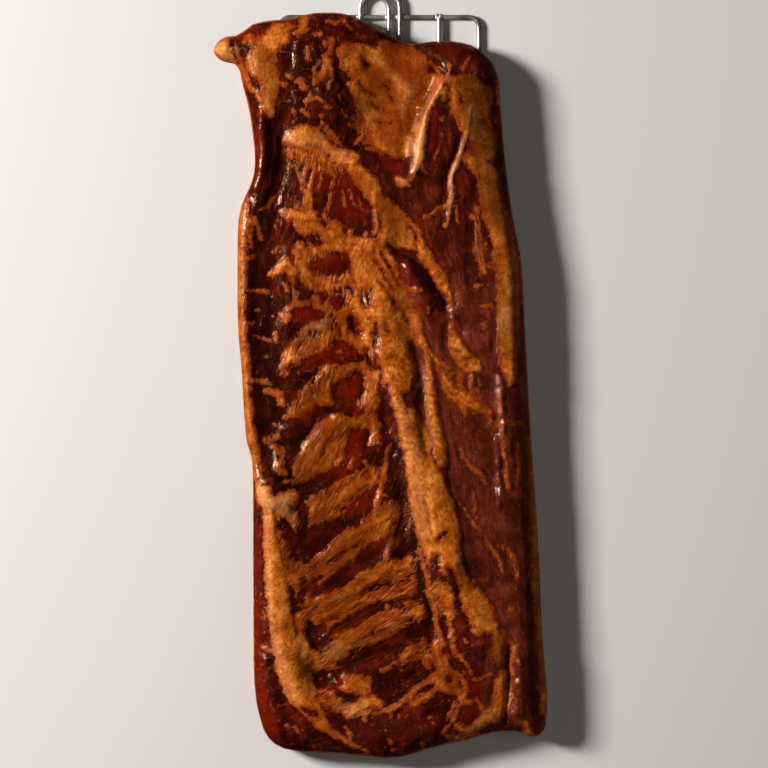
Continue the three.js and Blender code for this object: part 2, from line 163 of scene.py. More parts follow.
# How fat and lean lie on the rib side, painted in this order. A film of fat is streaky along the
# fibres, and a smear isn't. Each row has a kind and its strokes, and each stroke runs through
# points (x, y, half width) in mm.
marbling = [
    # thin and streaky fat fills the spaces between the bars of lean
    ("fat", [(-14, 118, 9), (-13, 96, 10), (-12, 80, 11), (-14, 60, 11), (-16, 40, 11), (-13, 20, 8),
             (-10, 0, 7), (-10, -20, 5)]),
    ("film", [(-10, 4, 9), (-10, -20, 8)],
             [(-60, 112, 7), (-40, 92, 12), (-30, 76, 12), (-40, 52, 14), (-60, 36, 13), (-76, 22, 7)],
             [(-76, 94, 1.6), (-74, 82, 1.8), (-73, 72, 1.5)], [(-86, 7, 1.5), (-74, 8, 2.5), (-58, 9, 2)],
             [(-74, -26, 5), (-64, -14, 7), (-54, -6, 10), (-48, 6, 8)], [(-99, -52, 3), (-90, -48, 2.5)],
             [(-66, -78, 10), (-54, -60, 13), (-46, -44, 11), (-40, -34, 7)],
             [(-32, -34, 6), (-33, -50, 5), (-38, -66, 6)], [(-18, -34, 7), (-6, -38, 6), (-4, -52, 4)],
             [(-72, -122, 8), (-58, -114, 11), (-38, -103, 12), (-20, -92, 12), (-8, -82, 8)],
             [(-80, -88, 2), (-68, -90, 2.5), (-60, -86, 2)],
             [(-84, -140, 3), (-81, -154, 4), (-76, -168, 6), (-70, -180, 5), (-64, -194, 5),
              (-58, -202, 3)],
             [(-70, -168, 8), (-54, -160, 10), (-36, -150, 12), (-18, -138, 13), (0, -125, 12),
              (9, -110, 6)],
             [(-62, -206, 8), (-46, -196, 10), (-28, -188, 12), (-8, -178, 13), (12, -168, 13),
              (27, -160, 8)], [(8, -184, 8), (24, -178, 9), (31, -174, 5)],
             [(-44, -244, 9), (-28, -229, 12), (-10, -219, 12), (8, -209, 12), (26, -204, 11),
              (40, -202, 6)], [(40, -186, 2.5), (44, -196, 3)],
             [(30, -238, 6), (40, -232, 6), (24, -246, 4)],
             [(-48, -276, 7), (-38, -282, 6), (-26, -288, 5), (-12, -287, 5)],
             [(-28, -262, 6), (-18, -268, 7)], [(86, 152, 2), (87, 132, 3), (88, 112, 3), (92, 96, 2)]),
    ("smear", [(-16, 232, 5), (-10, 224, 9), (0, 214, 12)], [(-70, 152, 3), (-56, 140, 6), (-38, 132, 4)],
              [(88, 226, 10), (84, 205, 8)], [(-100, 292, 12), (-104, 268, 8), (-96, 244, 5)],
              [(60, 8, 8), (72, -8, 11), (88, -20, 6)], [(104, -225, 5), (106, -245, 5)]),
    # ear, cheek and the fat line down the edge
    ("fat", [(-145, 292, 1.5), (-139, 294, 7), (-134, 288, 5.5), (-128, 284, 2.5)],
            [(-133, 302, 2.5), (-137, 297, 4)], [(-118, 299, 1.8), (-114, 303, 3), (-112, 298, 1.4)],
            [(-111, 281, 6), (-104, 288, 9), (-95, 299, 9.5), (-88, 309, 8)],
            [(-106, 276, 10), (-98, 270, 11), (-95, 257, 8), (-97, 244, 6), (-93, 234, 3)],
            [(-84, 300, 5), (-82, 308, 4)]),
    ("lean", [(-117, 292, 4.5), (-119, 285, 2.5)], [(-115, 267, 1.8), (-110, 263, 4), (-106, 257, 3)],
             [(-87, 286, 4), (-84, 276, 5)]),
    ("fat", [(-126, 297, 1.3), (-124, 288, 1.5), (-121, 278, 1.9), (-118, 268, 2), (-114, 258, 1.7),
             (-107, 251, 2), (-101, 244, 2), (-96, 236, 1.6)]),
    # brisket knob
    ("fat", [(-66, 321, 4), (-67, 311, 4.5), (-73, 306, 2)], [(-82, 315, 1.5), (-77, 311, 2)],
            [(-45, 316, 1.3), (-38, 315, 1.6), (-34, 318, 1.2)],
            [(-31, 319, 1.4), (-28, 313, 1.6), (-25, 310, 1.2)], [(-58, 305, 1.4), (-51, 305, 1.5)],
            [(-48, 297, 2.2), (-40, 298, 2), (-42, 293, 1.2)], [(-64, 293, 1.1), (-62, 283, 1.8)],
            [(-69, 263, 3), (-66, 259, 3)], [(-60, 252, 1.8), (-59, 248, 1.8), (-64, 246, 1.5)],
            [(-87, 262, 1.4), (-83, 261, 2.2)], [(-79, 270, 1.6), (-77, 266, 1.6)], [(-79, 246, 1.4)],
            [(-75, 238, 1.6), (-74, 235, 1.3)], [(-67, 238, 1.6), (-62, 234, 1.6)],
            [(-41, 300, 2.5), (-42, 292, 2), (-46, 285, 3), (-45, 277, 4), (-50, 269, 3), (-57, 262, 1.6)],
            [(-44, 277, 3), (-41, 267, 2), (-44, 258, 1.8)], [(-55, 250, 1), (-51, 247, 1.6)],
            [(-46, 241, 1.4), (-41, 240, 1)], [(-36, 252, 1.3), (-34, 247, 1)],
            [(-31, 237, 1.2), (-28, 232, 1.5)], [(-50, 233, 1.4)],
            [(-53, 281, 1.2), (-58, 272, 1), (-56, 266, 1.4)]),
    # membrane and the dish below it
    ("fat", [(-28, 288, 9), (-18, 282, 16), (0, 272, 22), (20, 268, 22), (34, 262, 12)],
            [(6, 291, 9), (22, 284, 12), (34, 280, 9)],
            [(-22, 262, 5), (-8, 246, 13), (12, 240, 20), (20, 225, 15), (18, 209, 13)],
            [(-4, 232, 12), (-6, 226, 7), (6, 213, 12)],
            [(46, 266, 6), (40, 254, 7), (33, 238, 7), (31, 220, 5), (29, 204, 5)]),
    ("lean", [(-37, 268, 2.4), (-32, 263, 3.6)], [(-12, 280, 0.9), (-9, 278, 0.8)],
             [(-18, 262, 0.5), (-10, 255, 0.8), (-4, 251, 0.4)],
             [(-8, 245, 0.4), (1, 239, 0.8), (10, 237, 0.4)],
             [(4, 262, 0.4), (9, 254, 0.7), (13, 246, 0.4)],
             [(-2, 229, 0.5), (6, 225, 0.8), (13, 227, 0.4)],
             [(16, 236, 0.4), (20, 228, 0.7), (19, 218, 0.4)],
             [(-20, 219, 4), (-25, 213, 4), (-14, 217, 3)]),
    ("fat", [(-25, 225, 1.4), (-17, 223, 1.8), (-6, 224, 2)], [(-15, 217, 1.8), (-19, 210, 2.2)]),
    # tendon band, with thin lean lines along it
    ("film", [(-76, 201, 5), (-62, 196, 6), (-50, 190, 6), (-38, 186, 5)]),
    ("fat", [(-81, 211, 3.5), (-74, 213, 8.5), (-64, 214, 12), (-55, 211, 12.5), (-45, 203, 11.5),
             (-35, 198, 9), (-25, 196, 8)]),
    ("lean", [(-74, 206, 0.7), (-62, 201, 0.9), (-54, 196, 0.8)],
             [(-52, 222, 1), (-46, 216, 1.3), (-38, 208, 1.5), (-32, 206, 1.2)]),
    ("fat", [(-50, 227, 1.2), (-44, 221, 1.4), (-38, 215, 1.6), (-34, 209, 1.8)]),
    ("lean", [(-62, 207, 0.8), (-52, 204, 0.9), (-44, 198, 0.8)]),
    ("fat", [(-24, 188, 6), (-17, 181, 8), (-10, 174, 9), (-5, 165, 8), (-3, 158, 5)],
            [(-5, 168, 1.8), (-4, 158, 1.8), (-2, 147, 1.6), (-1, 137, 1.8), (-3, 130, 1.8)]),
    # upper rib panels
    ("fat", [(-72, 190, 0.6), (-69, 178, 0.8), (-67, 168, 0.5)],
            [(-49, 190, 0.5), (-50, 180, 0.8), (-53, 170, 0.5)],
            [(-33, 168, 0.4), (-29, 154, 0.8), (-25, 142, 0.5)],
            [(-26, 168, 0.4), (-22, 156, 0.7), (-19, 147, 0.4)],
            [(-17, 160, 0.4), (-14, 150, 0.8), (-11, 139, 0.5)],
            [(-62, 195, 1.3), (-64, 186, 1.3), (-66, 178, 1.3), (-65, 172, 1)],
            [(-55, 193, 1.2), (-56, 184, 1.3), (-59, 173, 1.4), (-61, 168, 2)],
            [(-39, 185, 0.9), (-41, 171, 1), (-44, 158, 1.2), (-45, 150, 1.2)],
            [(-63, 165, 3.4), (-62, 156, 4)],
            [(-85, 150, 1.5), (-77, 148, 5), (-69, 145, 7), (-62, 147, 6.5), (-57, 145, 5)],
            [(-72, 138, 3), (-65, 135, 7), (-57, 137, 5), (-50, 130, 6), (-39, 128, 7), (-30, 124, 5),
             (-18, 124, 3.5), (-6, 122, 4)], [(-39, 138, 4), (-34, 133, 3)]),
    ("lean", [(-50, 146, 4), (-47, 138, 2.5)]),
    ("fat", [(-52, 143, 1.5)], [(-47, 146, 1.5), (-46, 142, 1.2)]),
    ("lean", [(-61, 128, 1.8), (-53, 128, 2)], [(-64, 119, 2.6), (-56, 120, 2.6)]),
    ("fat", [(-61, 122, 1), (-58, 118, 1.2)]),
    ("lean", [(-30, 150, 4), (-22, 146, 8), (-12, 143, 8.5), (-8, 134, 4.5)], [(-14, 155, 3)]),
    ("fat", [(-26, 130, 1.6), (-24, 134, 1.2)], [(-12, 127, 1.6), (-10, 131, 1.3)]),
    # fat round the first bar of lean
    ("fat", [(-74, 114, 2), (-65, 113, 3), (-54, 114, 3), (-47, 117, 4), (-38, 120, 5), (-28, 119, 5)],
            [(-69, 120, 4), (-69, 106, 4.5), (-66, 94, 5), (-59, 84, 4.5)]),
    ("lean", [(-73, 84, 2.5), (-66, 80, 3.5), (-59, 78, 3)]),
    ("fat", [(-72, 110, 1.5), (-68, 102, 3), (-64, 96, 3.5), (-57, 91, 4), (-48, 88, 4), (-40, 90, 3.5),
             (-33, 90, 3), (-26, 92, 3.5)],
            [(-20, 114, 7), (-14, 104, 10), (-16, 94, 9), (-6, 104, 9), (-4, 92, 8)]),
    ("lean", [(-56, 102, 6), (-46, 101, 9), (-36, 102, 10), (-34, 103, 9)]),
    ("fat", [(-54, 81, 2.5), (-49, 82, 3), (-42, 85, 3.5), (-35, 84, 3.5), (-30, 88, 3)]),
    ("lean", [(-40, 79, 2), (-34, 78, 2.5)], [(-26, 82, 3), (-22, 78, 2)]),
    ("fat", [(-24, 74, 4), (-20, 66, 5), (-15, 58, 5.5), (-8, 60, 6), (-2, 58, 6)],
            [(-17, 84, 3), (-18, 78, 3)]),
    ("lean", [(-12, 77, 4.4), (-11, 70, 5), (-6, 71, 5), (-6, 77, 4.4)]),
    # second bar, bright arc of fat, pit
    ("fat", [(-86, 58, 2.5), (-82, 54, 3), (-79, 61, 2)], [(-80, 64, 1.8), (-72, 68, 2.5), (-63, 69, 2.2)],
            [(-56, 72, 3.5), (-54, 66, 3), (-48, 63, 2.2), (-44, 63, 1.6)]),
    ("lean", [(-77, 61, 2), (-68, 61, 5), (-58, 60, 5.5), (-50, 58, 4)],
             [(-39, 71, 6.3), (-36, 66, 5.5), (-35, 73, 5)]),
    ("fat", [(-77, 24, 4), (-72, 32, 4), (-67, 40, 4.5), (-60, 46, 6), (-52, 48, 6), (-46, 48, 4),
             (-44, 42, 4), (-50, 37, 5), (-58, 33, 4), (-64, 28, 3)],
            [(-32, 56, 5), (-33, 46, 5), (-30, 40, 4), (-24, 38, 3), (-17, 43, 3)]),
    ("lean", [(-41, 58, 1.6), (-37, 48, 1.8), (-34, 40, 1.8)], [(-44, 51, 1.6), (-42, 47, 2.2)],
             [(-24, 55, 3.5), (-21, 48, 5), (-18, 43, 3)]),
    ("fat", [(-18, 46, 1.4), (-14, 49, 1.4)]),
    ("lean", [(-66, 33, 0.9), (-62, 41, 1)], [(-61, 40, 0.9), (-60, 44, 1)],
             [(-57, 40, 1.2), (-55, 44, 1)], [(-51, 41, 1), (-50, 44, 0.8)],
             [(-72, 26, 0.8), (-68, 34, 0.9)]),
    # third bar
    ("fat", [(-85, 12, 2), (-80, 20, 5), (-74, 22, 4)]),
    ("lean", [(-83, 12, 1.6), (-76, 9, 4), (-66, 14, 5), (-55, 20, 5), (-45, 22, 6.5), (-35, 24, 9),
              (-26, 24, 9), (-18, 20, 5)],
             [(-88, -2, 5), (-78, 0, 6.5), (-68, 2, 6), (-60, 6, 4.5), (-54, 11, 3)]),
    ("fat", [(-67, 22, 1.8), (-64, 24, 1.4)], [(-76, 17, 1.8), (-70, 17, 2.2)], [(-35, 26, 1.7)],
            [(-52, 11, 1.5), (-45, 12, 3), (-39, 14, 2.5)],
            [(-50, 6, 2.5), (-54, -4, 4), (-57, -14, 4), (-50, -15, 6), (-44, -17, 4.5), (-46, -8, 4)]),
    ("lean", [(-56, 0, 0.9), (-59, -12, 1)], [(-51, 0, 0.8), (-54, -12, 0.9)]),
    ("fat", [(-65, -14, 3.5), (-70, -20, 3)], [(-39, 3, 3), (-33, 8, 5), (-27, 11, 5), (-22, 14, 3)],
            [(-14, 13, 4.5), (-9, 7, 4), (-4, 4, 3), (-11, -5, 3), (-8, -15, 3.5)]),
    ("lean", [(-36, -8, 4), (-33, -12, 8), (-26, -11, 9), (-21, -8, 8), (-18, -1, 5), (-18, 7, 2.5)],
             [(-11, 28, 2.5), (-9, 18, 2.8), (-3, 10, 2.2)]),
    ("fat", [(-16, 31, 2), (-13, 37, 2)]),
    # fourth bar
    ("fat", [(-82, -31, 2), (-74, -27, 3), (-67, -24, 3.5), (-62, -20, 4)]),
    ("lean", [(-84, -43, 4), (-74, -39, 6), (-67, -34, 5), (-60, -28, 4), (-50, -26, 4.5), (-40, -26, 3)]),
    ("fat", [(-41, -33, 2.5), (-45, -44, 3), (-50, -54, 4), (-56, -64, 5), (-62, -74, 5)],
            [(-38, -52, 3), (-41, -62, 5), (-47, -71, 7), (-56, -76, 5)]),
    ("lean", [(-44, -48, 0.9), (-50, -62, 1)], [(-40, -42, 1), (-43, -54, 1)],
             [(-30, -28, 3), (-22, -28, 4), (-15, -27, 3), (-12, -22, 1.5)]),
    ("fat", [(-31, -40, 2.5), (-24, -36, 3.5), (-14, -34, 4), (-7, -30, 4), (-5, -40, 3.5), (-6, -50, 3),
             (-9, -57, 2)]),
    ("lean", [(-24, -54, 5), (-19, -48, 6.5), (-13, -45, 5), (-13, -54, 3)]),
    # fifth bar
    ("lean", [(-74, -97, 6), (-60, -92, 7), (-48, -88, 6), (-38, -82, 6), (-30, -79, 6), (-24, -73, 6.5),
              (-16, -64, 7), (-6, -62, 6), (1, -56, 3.5)]),
    ("fat", [(-22, -66, 1.2), (-25, -75, 2)],
            [(-13, -70, 2), (-8, -78, 4), (-5, -86, 5), (-12, -88, 4), (-18, -92, 3)],
            [(-50, -116, 3), (-44, -110, 4), (-36, -104, 5), (-30, -98, 6), (-24, -94, 6), (-16, -86, 5)],
            [(-47, -118, 2), (-38, -115, 3)]),
    ("lean", [(-72, -106, 5), (-66, -112, 6), (-66, -122, 5), (-70, -132, 4)],
             [(-33, -111, 1.8), (-26, -111, 4), (-16, -106, 7.5), (-9, -101, 7), (-3, -98, 4.5)]),
    # sixth bar
    ("fat", [(-44, -148, 3), (-36, -142, 4), (-28, -136, 4), (-20, -130, 4), (-10, -124, 5), (2, -118, 5.5),
             (11, -113, 5), (16, -107, 2)]),
    ("lean", [(-65, -158, 3), (-60, -149, 6.5), (-52, -138, 9), (-42, -129, 8.5), (-30, -124, 6),
              (-20, -122, 4)]),
    ("fat", [(-28, -152, 3), (-20, -146, 4), (-11, -138, 4.5), (0, -130, 5), (8, -123, 3.5)]),
    ("lean", [(-46, -160, 1), (-36, -153, 2), (-26, -148, 2), (-16, -141, 1.4)]),
    ("fat", [(-52, -177, 1.6), (-46, -170, 1.8), (-37, -163, 1.9), (-28, -157, 2), (-16, -144, 2.4),
             (-6, -135, 2.4)]),
    # seventh bar
    ("lean", [(-46, -184, 3), (-39, -177, 6), (-28, -170, 7), (-18, -161, 6.5), (-11, -152, 7),
              (-4, -147, 7.5)], [(-63, -174, 2.5), (-66, -182, 4), (-69, -192, 3.5)],
             [(-56, -173, 2.5), (-57, -181, 3.5), (-58, -189, 2)]),
    ("fat", [(-20, -184, 4), (-12, -176, 5), (-3, -169, 6), (6, -162, 6), (14, -163, 5), (22, -162, 4),
             (28, -156, 3), (31, -150, 2)],
            [(-47, -200, 3), (-50, -195, 3.5), (-40, -190, 5), (-30, -186, 4)],
            [(-50, -196, 2), (-34, -189, 3.5), (-20, -180, 4), (-8, -170, 4)]),
    ("lean", [(-16, -186, 0.5), (-4, -181, 1.6), (10, -177, 2.4), (26, -174, 1.8)]),
    # eighth bar
    ("fat", [(-46, -219, 1.7), (-43, -213, 2), (-36, -210, 2.6), (-28, -205, 2.2), (-19, -199, 2.2),
             (-10, -193, 2.6), (2, -190, 3.5), (12, -186, 3), (22, -184, 2)]),
    ("lean", [(-34, -216, 3), (-28, -212, 5.5), (-18, -206, 6), (-6, -200, 5), (6, -195, 4.5),
              (16, -194, 5), (20, -197, 3.5)]),
    ("fat", [(8, -196, 1.8)],
            [(-47, -238, 3), (-40, -239, 5), (-34, -232, 7), (-27, -227, 6), (-18, -221, 5),
             (-10, -215, 4.5), (0, -210, 3.5), (10, -207, 3.5), (20, -205, 4), (30, -202, 4.5),
             (40, -198, 4)], [(-36, -243, 4), (-34, -249, 1.6)],
            [(-34, -243, 3), (-24, -238, 4), (-14, -233, 4), (-4, -229, 4), (4, -225, 2.5)]),
    ("lean", [(-12, -223, 2)], [(-5, -221, 1.6), (-4, -225, 1.6)]),
    # ninth bar, pit and the fat lumps at the lower end
    ("lean", [(-34, -248, 3.5), (-22, -243, 6.5), (-10, -238, 7), (4, -234, 7), (18, -228, 8),
              (30, -221, 9), (39, -214, 5)],
             [(-2, -260, 7), (8, -266, 12), (14, -274, 9), (20, -258, 9), (29, -251, 7)]),
    ("fat", [(20, -241, 2), (26, -238, 3.6), (28, -232, 2.2)], [(15, -247, 2.4)],
            [(2, -254, 2.6), (9, -251, 2.2)],
            [(-29, -267, 5), (-21, -265, 8.5), (-14, -270, 6), (-10, -262, 3)],
            [(-27, -292, 4), (-20, -287, 5), (-13, -283, 6), (-5, -279, 5), (0, -282, 4)],
            [(-13, -296, 2.4)], [(-41, -272, 2.5), (-39, -281, 3.6)],
            [(-28, -303, 1.5), (-25, -309, 2), (-27, -315, 2)]),
    # left edge: the side's fat shows as a rim, with flecks in the dark furrow
    ("fat", [(-117, 168, 2), (-121, 150, 6), (-122, 135, 7), (-123, 118, 6.5), (-124, 100, 7.5),
             (-124, 85, 7), (-123, 60, 7), (-122, 30, 7), (-120, 10, 7), (-119, -10, 7), (-117, -30, 7),
             (-113, -50, 6), (-110, -64, 5), (-108, -84, 4)],
            [(-116, 143, 3), (-110, 141, 4), (-106, 137, 3), (-105, 131, 1.8), (-102, 124, 1.2)],
            [(-113, 138, 1.4), (-112, 124, 1.5), (-111, 118, 1.8)], [(-118, 108, 2.5), (-110, 109, 2)],
            [(-103, 150, 1.2), (-97, 153, 1.2), (-95, 159, 1.4), (-92, 164, 1.4)],
            [(-95, 93, 2), (-90, 97, 4), (-84, 102, 4.5), (-81, 107, 2.5), (-76, 97, 5), (-71, 99, 2.5)],
            [(-91, 138, 1.5)], [(-92, 113, 2), (-89, 118, 1.2)], [(-84, 86, 2), (-80, 80, 1.6)],
            [(-118, 80, 1.2), (-106, 80, 1.4), (-98, 79, 1.3)], [(-106, 63, 2)], [(-93, 57, 1.5)],
            [(-118, 52, 1.3), (-110, 52, 1.1)], [(-109, 40, 1.2), (-102, 38, 1.6), (-96, 36, 1.3)],
            [(-92, 42, 1.6), (-90, 36, 2.6)], [(-99, 22, 1.4)], [(-108, 8, 1.6)],
            [(-113, 1, 2.2), (-105, 0, 1.6), (-96, -1, 1.6)],
            [(-100, -8, 1.4), (-92, -9, 3), (-88, -10, 3), (-86, -18, 3.5)], [(-92, -38, 1.4)]),
    # tag, lump of pale fat and the belly fat band
    ("fat", [(-92, -57, 2.5), (-87, -60, 3.2), (-86, -70, 3), (-88, -76, 3.2), (-83, -80, 2)]),
    ("lean", [(-90, -66, 3)]),
    ("fat", [(-106, -90, 3.5), (-104, -104, 5), (-99, -96, 5), (-99, -106, 6), (-91, -105, 6),
             (-84, -103, 6.5), (-77, -101, 6.5), (-75, -105, 5)],
            [(-84, -112, 6), (-80, -117, 5), (-88, -118, 4), (-76, -122, 2.5)]),
    ("lean", [(-84, -122, 3), (-80, -128, 4), (-76, -134, 4)]),
    ("fat", [(-87, -132, 2.2), (-88, -138, 1.4)],
            [(-97, -114, 5), (-95, -128, 6), (-95, -142, 6.5), (-93, -156, 8), (-91, -170, 10),
             (-89, -186, 11), (-87, -204, 11), (-84, -220, 12), (-80, -235, 13), (-76, -250, 14.5),
             (-71, -264, 15), (-67, -274, 13), (-62, -283, 9.5), (-55, -292, 8), (-49, -301, 6),
             (-40, -308, 3.5), (-31, -314, 3), (-21, -320, 2.5), (-10, -324, 1.8)],
            [(-84, -168, 6), (-77, -173, 6), (-71, -172, 4)],
            [(-68, -226, 7), (-61, -240, 9), (-55, -248, 7), (-47, -247, 4)],
            [(-70, -206, 4), (-68, -214, 4)]),
    ("lean", [(-66, -286, 2.4), (-60, -290, 2.8), (-54, -292, 1.8)],
             [(-60, -212, 3.5), (-58, -220, 6), (-54, -230, 6), (-46, -224, 3.5)],
             [(-50, -262, 7), (-42, -259, 7.5), (-36, -263, 5)]),
    ("fat", [(-103, -232, 1.3), (-96, -236, 1.8)], [(-80, -303, 2.2)],
            [(-74, -304, 1.2), (-71, -308, 1.2)], [(-58, -321, 1.5)]),
    # diaphragm roll and the diagonal fat beside it
    ("lean", [(-15, 202, 3), (-7, 197, 6), (5, 190, 8), (16, 185, 8), (25, 179, 5)]),
    ("fat", [(-2, 162, 5), (4, 154, 7), (10, 145, 10), (15, 134, 11), (8, 126, 10), (22, 127, 9),
             (28, 120, 5)],
            [(6, 160, 2), (13, 152, 3), (21, 145, 2.6), (29, 138, 2.6), (35, 131, 2.6), (37, 122, 3)],
            [(16.5, 177, 3.4), (21, 175, 4.4), (25, 174, 3)]),
    ("lean", [(9, 171, 2.5), (14, 166, 2.5)]),
    ("fat", [(36, 120, 4.5), (39, 112, 6), (43, 104, 7), (47, 97, 7.5), (52, 90, 7), (57, 83, 5),
             (61, 76, 3), (62, 66, 2)]),
    # central fat column
    ("fat", [(3, 114, 6), (6, 102, 11), (8, 88, 14), (10, 75, 17), (14, 62, 18), (18, 50, 19), (20, 38, 19),
             (15, 26, 17), (18, 14, 17), (16, 2, 13)]),
    ("lean", [(9, 119, 1.2), (18, 114, 2.2), (26, 109, 3), (33, 103, 4), (38, 96, 5), (43, 88, 5),
              (47, 80, 5), (53, 72, 5), (58, 63, 4)],
             [(14, 112, 2), (20, 104, 5), (25, 96, 7), (30, 88, 8), (34, 80, 8), (38, 72, 9), (42, 62, 9),
              (48, 54, 9), (52, 44, 10), (51, 34, 8), (56, 25, 6), (61, 19, 4.5), (66, 14, 2)]),
    ("fat", [(27, 81, 1.6), (37, 80, 2)], [(43, 66, 2), (44, 62, 1.5)]),
    ("lean", [(-4, 108, 0.4), (4, 95, 0.8), (12, 82, 0.5)], [(2, 114, 0.5), (9, 101, 0.9), (18, 86, 0.6)],
             [(0, 90, 0.4), (8, 78, 0.8), (16, 64, 0.5)], [(12, 74, 0.4), (20, 62, 0.7), (25, 52, 0.5)],
             [(27, 34, 2.5), (33, 27, 4.5), (36, 16, 4), (37, 6, 3.5), (32, -6, 5), (30, -16, 5)],
             [(6, 48, 1.4), (8, 44, 1.4)], [(-4, 42, 2.6)]),
    # the ridge, its two crests, and its tail
    ("fat", [(10, 4, 3.5), (14, -8, 5), (17, -20, 6), (21, -32, 7), (25, -45, 8), (30, -60, 9),
             (36, -76, 13), (42, -92, 17), (46, -108, 19.5), (50, -124, 19.5), (53, -138, 18.5),
             (56, -150, 16.5), (62, -160, 11), (69, -170, 8), (76, -182, 8), (82, -195, 8.5),
             (87, -204, 9.5), (90, -212, 8.5)],
            [(34, 52, 4), (36, 44, 3), (39, 36, 2.2), (42, 28, 2.8), (43, 18, 3.2), (44, 6, 4),
             (45, -6, 4.5), (46, -18, 5), (48, -30, 5.5), (50, -42, 6), (53, -55, 6), (55, -70, 6)],
            [(28, -28, 6), (34, -42, 8), (38, -56, 9)], [(86, -218, 5), (95, -216, 4)]),
    ("lean", [(50, -154, 3), (49, -162, 5), (47, -171, 5), (45, -177, 3)],
             [(52, -139, 1.4), (57, -134, 2.2)],
             [(60, -163, 1.5), (64, -172, 2.6), (67, -183, 3.5), (66, -194, 3)]),
    ("fat", [(35, -147, 1.6), (38, -158, 1.8), (42, -170, 2), (45, -182, 2.6)]),
    ("film", [(52, -182, 7), (57, -192, 8), (60, -204, 6)]),
    ("fat", [(84, -188, 8), (92, -202, 9), (98, -213, 7)],
            [(44, -186, 4), (48, -197, 2.4), (51, -207, 1.7), (53, -218, 1.7), (55, -230, 3.4)],
            [(60, -190, 7), (63, -201, 2.8), (62, -212, 2), (64, -222, 2.4), (65, -232, 2.6),
             (68, -240, 1.6)], [(52, -184, 7), (58, -182, 6)]),
    ("lean", [(56, -207, 2.6), (57, -214, 3), (59, -222, 2.4)]),
    # dark lean down the ridge's left side
    ("lean", [(8, -4, 1.6), (4, -14, 4), (8, -28, 6), (10, -42, 6), (14, -56, 5.5), (16, -72, 5.5),
              (19, -88, 5), (21, -104, 4.5), (22, -118, 5), (18, -132, 7), (18, -146, 9), (27, -144, 6),
              (30, -152, 3)]),
    ("fat", [(10, -56, 1.4), (6, -68, 1.8), (4, -80, 2), (1, -92, 2.2), (-1, -103, 2.6), (-2, -112, 3.4),
             (-4, -119, 4)], [(3, -99, 1.2), (7, -99, 1.4)],
            [(16, -109, 2.5), (14, -122, 2), (11, -136, 1.8), (8, -148, 2.2), (6, -156, 3)]),
    ("lean", [(33, -158, 3.5), (36, -172, 3), (38, -186, 2.6), (44, -200, 2), (46, -214, 4),
              (46, -226, 4)]),
    # fork and rings of fat at the lower end
    ("fat", [(50, -232, 4), (52, -240, 4), (54, -248, 3), (48, -242, 3), (42, -239, 3.5), (40, -246, 3),
             (44, -250, 2)],
            [(53, -252, 2.2), (46, -259, 2.6), (38, -266, 2.4), (31, -272, 3.2), (25, -278, 2.6),
             (18, -283, 2.8), (9, -287, 3), (1, -289, 2), (-4, -292, 1.8)],
            [(58, -243, 4), (57, -256, 8), (62, -266, 9), (54, -264, 8), (70, -272, 4)],
            [(30, -282, 3), (40, -277, 3.2), (48, -272, 2.5)]),
    ("lean", [(33, -274, 1.6), (40, -270, 2.6), (47, -267, 2.6)], [(66, -247, 3.5), (73, -253, 3)]),
    ("fat", [(66, -238, 2.2), (74, -244, 1.7), (78, -250, 1.6), (82, -257, 1.2)],
            [(62, -253, 1.6), (70, -257, 2), (75, -264, 2.2), (75, -272, 3), (74, -280, 3),
             (80, -282, 2.2)], [(84, -261, 1.2), (92, -259, 1.2), (98, -257, 2.2)]),
    ("lean", [(62, -261, 4)]),
    ("fat", [(61, -292, 1.5), (66, -283, 1.3)], [(64, -299, 2), (67, -291, 2.6), (70, -284, 2)],
            [(56, -308, 1.7), (61, -303, 1.6)],
            [(70, -303, 3.5), (78, -306, 4), (86, -303, 4), (91, -298, 5), (96, -293, 7.5), (103, -292, 7),
             (107, -284, 8), (108, -274, 7), (108, -265, 6), (111, -256, 4)],
            [(86, -279, 1.4), (90, -287, 2.2)], [(60, -311, 3), (72, -311, 3), (84, -307, 3)],
            [(102, -220, 3.5), (105, -231, 6), (107, -242, 5.5)],
            [(116, -229, 2), (119, -232, 2), (117, -240, 2.2), (115, -250, 1.8), (117, -258, 1.2)],
            [(128, -299, 2), (131, -304, 3), (134, -309, 3)], [(76, -228, 1.3)], [(10, -293, 1.2)],
            [(18, -293, 1.3)], [(8, -314, 1.8), (12, -317, 1.6)], [(13, -323, 2.2)], [(37, -318, 1.8)],
            [(45, -294, 1.2)]),
    # fat patch and strings right of the ridge
    ("fat", [(44, 27, 2.4), (50, 20, 2.2), (56, 14, 2.2), (62, 11, 2)],
            [(62, 47, 2), (65, 38, 4), (68, 30, 6.5), (72, 22, 8), (77, 15, 8), (83, 16, 5.5),
             (87, 12, 3.5)],
            [(56, 6, 2.5), (60, -3, 5), (66, -11, 7), (75, -16, 6.5), (84, -20, 4.5), (91, -24, 3),
             (97, -26, 3)], [(72, -21, 3.5), (75, -28, 2)]),
    ("lean", [(76, 2, 2.8), (77, -5, 2.2)]),
    ("fat", [(82, 6, 1.6), (81, -6, 1.6), (84, -14, 1.6)]),
    ("lean", [(66, 4, 2), (67, -2, 1.5)]),
    ("fat", [(88, 5, 1), (89, -4, 1)], [(93, 49, 2.6), (91, 51, 2)],
            [(71, -58, 1.1), (75, -66, 1.4), (79, -72, 0.9), (84, -77, 1.6), (88, -81, 1.6), (95, -90, 1)],
            [(70, -106, 0.7), (76, -113, 0.9), (81, -120, 1), (86, -127, 1.6), (90, -131, 1)],
            [(94, -137, 0.8), (99, -145, 1), (103, -152, 1.5), (106, -158, 1.4), (108, -166, 1)],
            [(83, -96, 0.4), (84, -108, 0.6), (86, -119, 0.8)]),
    ("film", [(108, -146, 2), (114, -149, 2), (119, -156, 1.4), (122, -172, 1)]),
    ("fat", [(83, -175, 2)], [(116, -199, 2.4)]),
